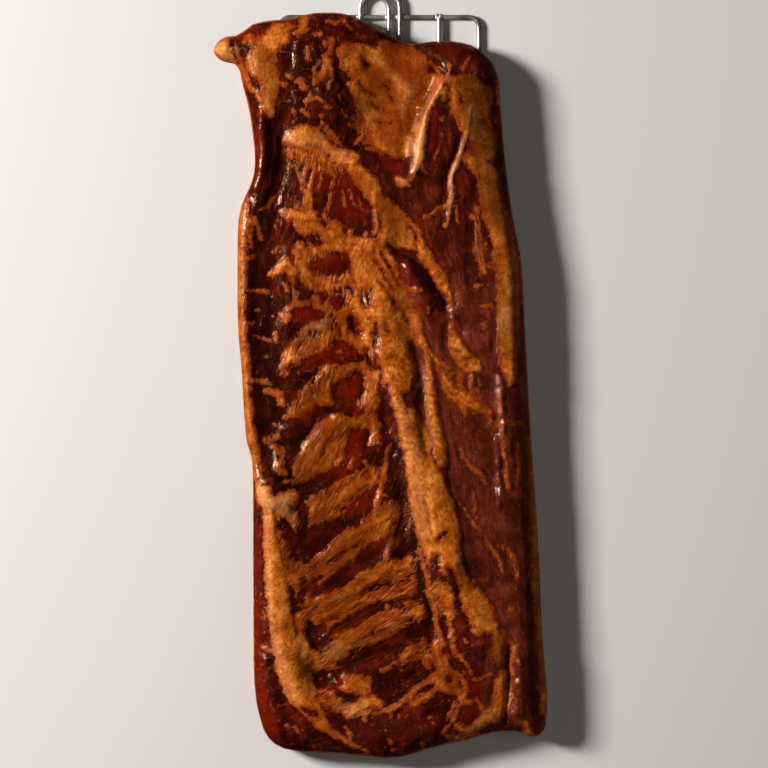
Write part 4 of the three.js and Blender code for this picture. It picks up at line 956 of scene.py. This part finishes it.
def makeFacesEven(piece, values):
    # small faces where there is relief, and larger ones on the flat underside
    remesh = piece.modifiers.new("even faces", "REMESH")
    remesh.mode = "VOXEL"
    remesh.voxel_size = values["cell"] * mm
    soften = piece.modifiers.new("soften", "SMOOTH")
    soften.factor = 0.5
    soften.iterations = values["smoothing"]
    selectOnly(piece)
    for name in ("even faces", "soften"):
        bpy.ops.object.modifier_apply(modifier=name)
    print("slab remeshed:", len(piece.data.vertices), "points")

    selectFaces(piece, lambda centre, normal: normal.z < -0.93)
    bpy.ops.object.mode_set(mode="EDIT")
    bpy.ops.mesh.decimate(ratio=values["undersideShare"])
    bpy.ops.object.mode_set(mode="OBJECT")


def sideLayers(places, values):
    # the cut sides show the layers of belly: rind fat, a streak of lean, fat, lean
    layer = places[:, 2] + 3.2 * noiseAt(places, 46, 7) + 1.4 * noiseAt(places, 15, 8)
    fat = 3.4 * np.cos((layer - values["layerHeight"]) * 2 * math.pi / values["layerPitch"])
    return fat + 1.6 * noiseAt(places, 7, 9) + 0.6


def fibreRidges(places, regions, values):
    # from -1 to 1, drawn out along the muscle: the upper ribs' grain, then each region's over it
    x, y, z = places.T
    ridges = []
    for seed, turn in enumerate(np.radians(values["grains"])):
        along = x * np.cos(turn) + y * np.sin(turn)
        across = -x * np.sin(turn) + y * np.cos(turn)
        drawn = np.stack([across / values["grainWidth"], along / values["grainLength"], z / 9], 1)
        ridges.append(noiseAt(drawn, 1, 11 + seed))
    fibre = ridges[0]
    for share, other in zip(regions, ridges[1:]):
        fibre = fibre * (1 - share) + other * share
    return fibre


def meatRelief(places, normals, fat, fibre, values):
    # how far each point moves out along its normal, in mm
    x, y, z = places.T
    shown, under = facing(normals)
    inFat = smoothStep((fat + 0.6) / 1.8)
    relief = values["fatHeight"] * (1 - np.exp(-np.maximum(fat, 0) / 1.6))
    relief -= values["leanDepth"] * (1 - np.exp(np.minimum(fat, 0) / 1.2))
    relief += values["leanBulge"] * smoothStep((-fat - 2) / 5)
    relief += inFat * (0.3 * noiseAt(places, 8, 14) + 0.2 * noiseAt(places, 4.2, 15) + 0.2 * fibre)
    relief += (1 - inFat) * (0.2 * noiseAt(places, 8, 16) + values["grainHeight"] * fibre)
    relief = relief * (shown * 0.75 + 0.25) + shown * paintForms(x, y)
    givenBack = values["givenBack"] * (1 - 0.8 * np.maximum(-normals[:, 0], 0))  # the left side lost less
    relief += givenBack * np.exp(-(normals[:, 2] / 0.4) ** 2)
    relief = relief * (1 - under) + under * 0.35 * noiseAt(places, 9, 19)
    relief[z < values["flatBelow"]] = 0  # it still rests flat on the floor
    return relief


def makeSlab(values):
    piece = copyFrameNode("slab", "slab_bacon")
    closeProngHoles(piece, values)
    makeFacesEven(piece, values)

    mesh = piece.data
    places = vertexArray(mesh, "co") / mm
    normals = vertexArray(mesh, "normal")
    x, y = places[:, 0], places[:, 1]  # these follow places where it changes
    flat = places * [1, 1, 0]
    shown, under = facing(normals)
    warpX, warpY = wander(flat, 1), wander(flat, 4)
    onTop, filmy = paintMarbling(x + warpX, y + warpY)
    isFilm = filmy * smoothStep((onTop + 3) / 2) * smoothStep((4 - onTop) / 2)
    onTop += isFilm * (0.9 * noiseAt(flat, 9, 17) + 0.5 * noiseAt(flat, 4, 18))
    fat = onTop * shown + sideLayers(places, values) * (1 - shown)

    midRibs = smoothStep((10 - y) / 80)
    lowRibs = smoothStep((-110 - y) / 80)
    flank = smoothStep((x + 5 - np.clip(-0.42 * y, 0, 75)) / 40)  # it begins at the ridge
    fibre = fibreRidges(places, (midRibs, lowRibs, flank), values)
    places += normals * meatRelief(places, normals, fat, fibre, values)[:, None]
    places[:, 2] = np.maximum(places[:, 2], 0)
    mesh.vertices.foreach_set("co", (places * mm).astype(np.float32).ravel())
    mesh.update()

    addField(mesh, "fat", fat)
    addField(mesh, "film", np.maximum(isFilm, 0.3 + 0.2 * (1 - flank)) * shown)
    addField(mesh, "flank", flank)
    # the flank's lean, fading out towards the top; its lighter pinkish colour is partly a painted sheen
    addField(mesh, "flankAndSheen", flank * (1 - 0.8 * smoothStep((y - 70) / 60)))
    addField(mesh, "midRibs", midRibs)
    addField(mesh, "lowRibs", lowRibs)
    for name, strokes in tints.items():
        addField(mesh, name, paintTint(strokes, x + warpX, y + warpY) * shown)
    addField(mesh, "underside", under)
    selectOnly(piece)
    bpy.ops.object.shade_smooth()
    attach(piece, "root")
    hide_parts("slab")
    print("slab shaped:", sum(len(face.vertices) - 2 for face in mesh.polygons), "triangles")
    return piece


slabPiece = makeSlab(slab)


# What the smoked pork is finished in

porkLook = {
    "fatDeep": "#7a3406",
    "fatMiddle": "#b5590f",
    "fatLight": "#dd8c3c",
    "film": "#8b3506",
    "paleAndHighlight": "#d9965c",
    "amber": "#702602",
    "dullAndShade": "#5e2b09",
    "brownAndShade": "#331405",
    # dark brown for the shoulder's fat and for the painted shade down the right side
    "leanDark": "#240602",
    "leanMiddle": "#3e0b03",
    "leanLight": "#6e1a06",
    # nearly black lean, also the colour of the painted shade
    "leanBlack": "#1e0502",
    # the flank's lean, its lighter tones partly a painted sheen
    "flankDark": "#421309",
    "flankMiddle": "#602012",
    "flankLight": "#7c351f",
    "ruby": "#6c1002",
    "fleck": "#a5561c",
    "rindDark": "#5a2c0e",
    "rindLight": "#b97a34",
    "gloss": "#f2b07c",
    "sizes": {              # mm, the grain of each pattern
        "sway": 16,
        "fibre": 2,         # coarser than real fibres, so that they show
        "ragged": 4.5,
        "patches": 13,
        "crumbs": 3.2,
        "grit": 1.4,
        "veins": 9,
        "blotches": 15,
        "spots": 3.8,
        "mottle": 14,
        "gloss": 5,
        "pebbles": 2.4,
    },
    "sway": 12,             # mm, how far the fibres wander
    "fibreLength": 8,       # times their width
    "raggedDepth": 2.4,     # mm, how far a pattern shifts the line between fat and lean
    "streakDepth": 2.8,     # mm, the same along the fibres, in a film of fat
    "leanRoughness": 0.22,
    "fatRoughness": 0.38,
    "roughnessSpread": 0.12,
    "membraneGloss": 0.12,  # taken off the roughness where thin fat is stretched clear
    "specular": 0.4,
    "coat": (0.08, 0.5),    # the film of grease, plain and where it is wet
    "coatRoughness": 0.07,
    "scatter": 0.3,
    "scatterColor": (1, 0.3, 0.12),
    "scatterDepth": 3,      # mm
    "bumpDepth": 2,         # mm
    "beadDepth": 1,         # mm
}


porkScale = {name: 1000 / size for name, size in porkLook["sizes"].items()}  # repeats in a metre
smoothly = {"interpolation_type": "SMOOTHSTEP"}


# In these functions maps holds the painted fields and the patterns, each by its name.

def fibrePattern(add, look, maps):
    # nearly upright between the first ribs, flatter between the last, and upright in the flank
    sway = add("TexNoise", {"Vector": maps["place"], "Scale": porkScale["sway"], "Detail": 2}, "Color")
    sway = add("VectorMath", {0: sway, 1: (0.5, 0.5, 0.5)}, operation="SUBTRACT")
    sway = add("VectorMath", {0: sway, 1: (look["sway"] * mm, look["sway"] * mm, 0)}, operation="MULTIPLY")
    swayed = add("VectorMath", {0: maps["place"], 1: sway}, operation="ADD")
    fibres = []
    for turn in slab["grains"]:
        turn = -math.radians(turn)
        drawn = add("VectorRotate", {"Vector": swayed, "Angle": turn}, rotation_type="Z_AXIS")
        drawn = add("VectorMath", {0: drawn, 1: (1 / look["fibreLength"], 1, 0.5)}, operation="MULTIPLY")
        drawn = add("TexNoise", {"Vector": drawn, "Scale": porkScale["fibre"], "Detail": 3, "Roughness": 0.6})
        fibres.append(drawn)
    fibre = fibres[0]
    for name, other in zip(("midRibs", "lowRibs", "flank"), fibres[1:]):
        fibre = add("Mix", {0: maps[name], 2: fibre, 3: other})
    return fibre


def marblingEdge(add, look, maps):
    # the line between fat and lean, roughened further, and drawn out along the fibres in the film;
    # gives how far there is fat, how far it is thick, and how far it is stringy
    far = look["raggedDepth"]
    ragged = add("TexNoise", {
        "Vector": maps["place"], "Scale": porkScale["ragged"], "Detail": 5, "Roughness": 0.7})
    ragged = add("MapRange", {
        "Value": ragged, "From Min": 0.25, "From Max": 0.75, "To Min": -far, "To Max": far})
    calmer = add("MapRange", {"Value": maps["film"], "From Min": 0.3, "To Min": 1, "To Max": 0.5})
    ragged = add("Math", {0: ragged, 1: calmer}, operation="MULTIPLY")
    edge = add("Math", {0: maps["fat"], 1: ragged}, operation="ADD")
    far = look["streakDepth"]
    streak = add("MapRange", {
        "Value": maps["fibre"], "From Min": 0.3, "From Max": 0.7, "To Min": -far, "To Max": far})
    stringy = add("MapRange", {"Value": maps["film"], "From Min": 0.4, "From Max": 0.8})
    streak = add("Math", {0: streak, 1: stringy}, operation="MULTIPLY")
    edge = add("Math", {0: edge, 1: streak}, operation="ADD")
    soft = add("MapRange", {"Value": stringy, "To Min": -0.9, "To Max": -1.8})
    isFat = add("MapRange", {"Value": edge, "From Min": soft, "From Max": 0.6}, **smoothly)
    isThick = add("MapRange", {"Value": edge, "From Min": 0.3, "From Max": 4}, **smoothly)
    return isFat, isThick, stringy


def fatColor(add, look, maps):
    patches = add("TexNoise", {
        "Vector": maps["place"], "Scale": porkScale["patches"], "Detail": 5, "Roughness": 0.65})
    share = add("MapRange", {"Value": maps["film"], "To Min": 0.3, "To Max": 0.55})
    # the crumbs pattern that lowers the fat's bumps also darkens its tone and paints red-brown pits: partly
    # painted shade in the hollows, partly the fat's own mottling
    tone = add("Mix", {0: share, 2: patches, 3: maps["strands"]})
    tone = add("Mix", {0: 0.1, 2: tone, 3: maps["grit"]})
    color = add("ValToRGB", {"Fac": tone}, stops=[
        (0.38, look["fatDeep"]), (0.5, look["fatMiddle"]), (0.63, look["fatLight"])])
    color = add("Mix", {0: maps["isThick"], 6: look["film"], 7: color}, 2, data_type="RGBA")
    pits = add("MapRange", {"Value": maps["crumbs"], "From Min": 0.42, "From Max": 0.32, "To Max": 0.45})
    color = add("Mix", {0: pits, 6: color, 7: look["leanLight"]}, 2, data_type="RGBA")
    shares = {"dullAndShade": (0.4, 0.9), "amber": (0.75, 1), "brownAndShade": (0.5, 1), "paleAndHighlight": (0.2, 0.7)}
    for name, (least, most) in shares.items():
        share = add("MapRange", {
            "Value": maps["crumbs"], "From Min": 0.2, "From Max": 0.7, "To Min": least, "To Max": most})
        share = add("Math", {0: maps[name], 1: share}, operation="MULTIPLY")
        color = add("Mix", {0: share, 6: color, 7: look[name]}, 2, data_type="RGBA")

    # veins show only where the fat is stretched thin
    veins = add("TexNoise", {
        "Vector": maps["place"], "Scale": porkScale["veins"], "Detail": 4, "Roughness": 0.6,
        "Distortion": 0.8})
    veins = add("Math", {0: veins, 1: 0.5}, operation="SUBTRACT")
    veins = add("Math", {0: veins}, operation="ABSOLUTE")
    veins = add("MapRange", {"Value": veins, "From Max": 0.03, "To Min": 0.5, "To Max": 0})
    membrane = add("Math", {0: maps["amber"], 1: maps["brownAndShade"]}, operation="MAXIMUM")
    veins = add("Math", {0: veins, 1: membrane}, operation="MULTIPLY")
    return add("Mix", {0: veins, 6: color, 7: look["fatMiddle"]}, 2, data_type="RGBA")


def leanColor(add, look, maps):
    blotches = add("TexNoise", {
        "Vector": maps["place"], "Scale": porkScale["blotches"], "Detail": 5, "Roughness": 0.65})
    share = add("MapRange", {"Value": maps["flank"], "To Min": 0.22, "To Max": 0.35})
    tone = add("Mix", {0: share, 2: blotches, 3: maps["fibre"]})
    tone = add("Mix", {0: 0.08, 2: tone, 3: maps["grit"]})
    color = add("ValToRGB", {"Fac": tone}, stops=[
        (0.38, look["leanDark"]), (0.5, look["leanMiddle"]), (0.64, look["leanLight"])])
    # the flank's lighter pinkish lean is partly a painted sheen on the lower flank
    flankColor = add("ValToRGB", {"Fac": tone}, stops=[
        (0.38, look["flankDark"]), (0.5, look["flankMiddle"]), (0.62, look["flankLight"])])
    share = add("Math", {0: maps["flankAndSheen"], 1: 0.85}, operation="MULTIPLY")
    color = add("Mix", {0: share, 6: color, 7: flankColor}, 2, data_type="RGBA")
    sinewy = add("MapRange", {"Value": maps["flank"], "To Min": 0.22, "To Max": 0.08})
    sinew = add("MapRange", {"Value": maps["fibre"], "From Min": 0.58, "From Max": 0.72})
    sinew = add("Math", {0: sinew, 1: sinewy}, operation="MULTIPLY")
    color = add("Mix", {0: sinew, 6: color, 7: look["fleck"]}, 2, data_type="RGBA")
    # ruby is light coming through the lean; the dark tint is smoke darkening and painted shade, mixed towards
    # leanBlack
    for name, tint, most in (("ruby", look["ruby"], 0.6), ("darkAndShade", look["leanBlack"], 0.78)):
        share = add("Math", {0: maps[name], 1: most}, operation="MULTIPLY")
        color = add("Mix", {0: share, 6: color, 7: tint}, 2, data_type="RGBA")
    spots = add("TexNoise", {
        "Vector": maps["place"], "Scale": porkScale["spots"], "Detail": 3, "Roughness": 0.6})
    flecked = add("Math", {0: maps["flecked"], 1: 0.07}, operation="MULTIPLY")
    spots = add("Math", {0: spots, 1: flecked}, operation="ADD")
    flecks = add("MapRange", {"Value": spots, "From Min": 0.66, "From Max": 0.8, "To Max": 0.7})
    return add("Mix", {0: flecks, 6: color, 7: look["fleck"]}, 2, data_type="RGBA")


def rindColor(add, look, maps):
    mottle = add("TexNoise", {
        "Vector": maps["place"], "Scale": porkScale["mottle"], "Detail": 5, "Roughness": 0.6})
    return add("ValToRGB", {"Fac": mottle}, stops=[(0.35, look["rindDark"]), (0.65, look["rindLight"])])


def porkRoughness(add, look, maps):
    far = look["roughnessSpread"]
    uneven = add("TexNoise", {"Vector": maps["place"], "Scale": porkScale["gloss"], "Detail": 3})
    uneven = add("MapRange", {"Value": uneven, "To Min": -far, "To Max": far})
    rough = add("MapRange", {
        "Value": maps["isThick"], "To Min": look["leanRoughness"], "To Max": look["fatRoughness"]})
    rough = add("Math", {0: rough, 1: uneven}, operation="ADD")
    return add("Math", {0: maps["amber"], 1: -look["membraneGloss"], 2: rough}, operation="MULTIPLY_ADD")


def porkBumps(add, look, maps):
    # fat is lumpy where thick and stringy where thin, lean is nearly smooth, and the gloss beads;
    # gives the meat's normal and the gloss's
    stringy = add("Math", {0: maps["stringy"], 1: maps["isFat"]}, operation="MULTIPLY")
    rise = add("MapRange", {"Value": maps["isFat"], "To Min": 0.15, "To Max": 0.3})
    rise = add("Math", {0: stringy, 1: 0.12, 2: rise}, operation="MULTIPLY_ADD")
    grain = add("Mix", {0: maps["isFat"], 2: maps["fibre"], 3: maps["strands"]})
    grain = add("Math", {0: grain, 1: rise}, operation="MULTIPLY")
    pebbles = add("TexNoise", {"Vector": maps["place"], "Scale": porkScale["pebbles"], "Detail": 2})
    grain = add("Math", {0: pebbles, 1: 0.2, 2: grain}, operation="MULTIPLY_ADD")
    grain = add("Math", {0: maps["grit"], 1: 0.07, 2: grain}, operation="MULTIPLY_ADD")
    taut = add("MapRange", {"Value": maps["amber"], "To Min": 1, "To Max": 0.4})
    grain = add("Math", {0: grain, 1: taut}, operation="MULTIPLY")
    bumps = add("Bump", {"Height": grain, "Strength": 1.0, "Distance": look["bumpDepth"] * mm})
    beads = add("MapRange", {"Value": pebbles, "From Min": 0.56, "From Max": 0.7}, **smoothly)
    glaze = add("Math", {0: beads, 1: 0.5, 2: grain}, operation="MULTIPLY_ADD")
    ridges = add("Math", {0: maps["fibre"], 1: maps["flank"]}, operation="MULTIPLY")
    glaze = add("Math", {0: ridges, 1: 0.6, 2: glaze}, operation="MULTIPLY_ADD")
    glaze = add("Bump", {"Height": glaze, "Strength": 1.0, "Distance": look["beadDepth"] * mm})
    return bumps, glaze


def smokedPork(look):
    material, tree, add = newMaterial("smoked pork belly")  # glazed: dark tight lean, amber fat, wet gloss
    shader = tree.nodes["Principled BSDF"]
    names = ("fat", "film", "midRibs", "lowRibs", "flank", "flankAndSheen", "underside") + tuple(tints)
    maps = {name: add("Attribute", out="Fac", attribute_name=name) for name in names}
    maps["place"] = add("TexCoord", out="Object")
    maps["fibre"] = fibrePattern(add, look, maps)
    maps["crumbs"] = add("TexNoise", {
        "Vector": maps["place"], "Scale": porkScale["crumbs"], "Detail": 3, "Roughness": 0.55})
    maps["strands"] = add("Mix", {0: maps["film"], 2: maps["crumbs"], 3: maps["fibre"]})
    maps["grit"] = add("TexNoise", {"Vector": maps["place"], "Scale": porkScale["grit"], "Detail": 1})
    maps["isFat"], maps["isThick"], maps["stringy"] = marblingEdge(add, look, maps)

    lean, fat = leanColor(add, look, maps), fatColor(add, look, maps)
    color = add("Mix", {0: maps["isFat"], 6: lean, 7: fat}, 2, data_type="RGBA")
    rind = rindColor(add, look, maps)
    color = add("Mix", {0: maps["underside"], 6: color, 7: rind}, 2, data_type="RGBA")
    least, most = look["coat"]
    coat = add("MapRange", {"Value": maps["wet"], "To Min": least, "To Max": most})
    calm = add("MapRange", {"Value": maps["matt"], "To Min": 1, "To Max": 0})
    coat = add("Math", {0: coat, 1: calm}, operation="MULTIPLY")
    bumps, glaze = porkBumps(add, look, maps)
    tree.links.new(color, shader.inputs["Base Color"])
    tree.links.new(porkRoughness(add, look, maps), shader.inputs["Roughness"])
    tree.links.new(coat, shader.inputs["Coat Weight"])
    tree.links.new(bumps, shader.inputs["Normal"])
    tree.links.new(glaze, shader.inputs["Coat Normal"])
    shader.inputs["Subsurface Weight"].default_value = look["scatter"]
    shader.inputs["Subsurface Radius"].default_value = look["scatterColor"]
    shader.inputs["Subsurface Scale"].default_value = look["scatterDepth"] * mm
    shader.inputs["Specular IOR Level"].default_value = look["specular"]
    shader.inputs["Specular Tint"].default_value = linear(look["gloss"])
    shader.inputs["Coat Roughness"].default_value = look["coatRoughness"]
    return material


slabPiece.data.materials.append(smokedPork(porkLook))
print("slab finished")


# The hanger

hanger = {                         # mm
    "wireRadius": 2.2,
    "barY": 322,
    "halfWidth": prongPlaces[-1],
    "cornerRadius": 9,
    "tinePlaces": (prongPlaces[1], prongPlaces[4]),
    "eyeLeft": prongPlaces[2],
    "eyeReturn": (8.6, 286),       # where the eye's wire comes back to and ends
    "eyeRise": 6,                  # above the bar, where its half ring begins
    "outerEyeRight": prongPlaces[3],
    "outerEyeFoot": 2,             # above the bar
    "outerEyeRise": 8,
    "uprightLift": 1.6,            # how far the upright wires stand above the bar they are welded to
    "tineBendY": 262,
    "bendRadius": 5,
    "prongHeight": 20,
    "prongLean": 6,
    "beadRadius": 2.1,
    "beadShape": (1.25, 1.5, 0.75),
    "beadGap": 1.6,                # to each side of the upright wire
    "beadLift": 1.0,               # above the middle of the bar
}


def arcPoints(centreX, centreY, z, radius, start, end, steps):
    turns = [math.radians(start + (end - start) * i / steps) for i in range(steps + 1)]
    return [(centreX + radius * math.cos(t), centreY + radius * math.sin(t), z) for t in turns]


def prongPoints(values, x, z):
    # round the bend and up to the prong's tip
    bend, y = values["bendRadius"], values["tineBendY"]
    turns = [i / 8 * math.pi / 2 for i in range(9)]
    points = [(x, y + bend - bend * math.sin(t), z + bend - bend * math.cos(t)) for t in turns]
    return points + [(x, y + values["prongLean"], values["prongHeight"])]


def drawWire(name, points, radius):
    curve = bpy.data.curves.new(name, "CURVE")
    curve.dimensions = "3D"
    curve.bevel_depth = radius * mm
    curve.bevel_resolution = 6
    curve.use_fill_caps = True
    line = curve.splines.new("POLY")
    line.points.add(len(points) - 1)
    for knot, (x, y, z) in zip(line.points, points):
        knot.co = (x * mm, y * mm, z * mm, 1)
    wire = bpy.data.objects.new(name, curve)
    bpy.context.collection.objects.link(wire)
    selectOnly(wire)
    bpy.ops.object.convert(target="MESH")
    return bpy.context.object


def weldBead(values, x, y, z):
    bpy.ops.object.select_all(action="DESELECT")
    bpy.ops.mesh.primitive_uv_sphere_add(segments=20, ring_count=12, radius=values["beadRadius"] * mm,
                                         location=(x * mm, y * mm, z * mm))
    bead = bpy.context.object
    bead.scale = values["beadShape"]
    bpy.ops.object.transform_apply(location=True, rotation=True, scale=True)
    return bead


def makeHanger(values):
    r, w, corner = values["wireRadius"], values["halfWidth"], values["cornerRadius"]
    barZ, uprightZ = r, r + values["uprightLift"]
    barY, left, right = values["barY"], values["eyeLeft"], values["outerEyeRight"]
    back, backY = values["eyeReturn"]
    inner, outer = (back - left) / 2, (right - left) / 2  # the radii of the two eyes
    bar = prongPoints(values, w, barZ)[::-1]
    bar += arcPoints(w - corner, barY - corner, barZ, corner, 0, 90, 10)
    bar += arcPoints(corner - w, barY - corner, barZ, corner, 90, 180, 10)
    bar += prongPoints(values, -w, barZ)
    eye = [(back, backY, uprightZ)]
    eye += arcPoints(left + inner, barY + values["eyeRise"], uprightZ, inner, 0, 180, 24)
    outerEye = [(left, barY + values["outerEyeFoot"], uprightZ)]
    outerEye += arcPoints(left + outer, barY + values["outerEyeRise"], uprightZ, outer, 180, 0, 28)
    wires = [drawWire("bar", bar, r)]
    for x in values["tinePlaces"]:
        wires.append(drawWire("tine", [(x, barY, uprightZ)] + prongPoints(values, x, uprightZ), r))
    wires.append(drawWire("eye", eye + prongPoints(values, left, uprightZ), r))
    wires.append(drawWire("outer eye", outerEye + prongPoints(values, right, uprightZ), r))
    for x in values["tinePlaces"] + (left, back, right):
        for side in (-1, 1):
            wires.append(weldBead(values, x + side * values["beadGap"], barY, barZ + values["beadLift"]))
    bpy.ops.object.select_all(action="DESELECT")
    for wire in wires:
        wire.select_set(True)
    bpy.context.view_layer.objects.active = wires[0]
    bpy.ops.object.join()
    piece = bpy.context.object
    piece.name = "wire_hanger"
    bpy.ops.object.shade_smooth_by_angle(angle=math.radians(40))
    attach(piece, "root")
    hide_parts("hanger")
    return piece


steelLook = {
    "stained": "#9a8c7c",
    "plain": "#d0cdc8",
    "bright": "#e2e0dc",
    "stainSize": 14,         # mm
    "metallic": 0.8,         # under 1, for the film of smoke on it
    "roughness": (0.24, 0.42),
    "drawSize": 1.5,         # mm, coarser than real drawing marks, so that they show
}


def drawnSteel(look):
    material, tree, add = newMaterial("drawn stainless steel")  # bright wire, faintly stained by smoke
    shader = tree.nodes["Principled BSDF"]
    place = add("TexCoord", out="Object")
    stain = add("TexNoise", {"Vector": place, "Scale": 1000 / look["stainSize"], "Detail": 4})
    color = add("ValToRGB", {"Fac": stain}, stops=[
        (0.4, look["stained"]), (0.55, look["plain"]), (0.8, look["bright"])])
    tree.links.new(color, shader.inputs["Base Color"])
    shader.inputs["Metallic"].default_value = look["metallic"]
    least, most = look["roughness"]
    fine = add("TexNoise", {"Vector": place, "Scale": 1000 / look["drawSize"], "Detail": 3})
    rough = add("MapRange", {"Value": fine, "To Min": least, "To Max": most})
    tree.links.new(rough, shader.inputs["Roughness"])
    return material


hangerPiece = makeHanger(hanger)
hangerPiece.data.materials.clear()
hangerPiece.data.materials.append(drawnSteel(steelLook))
print("hanger made")
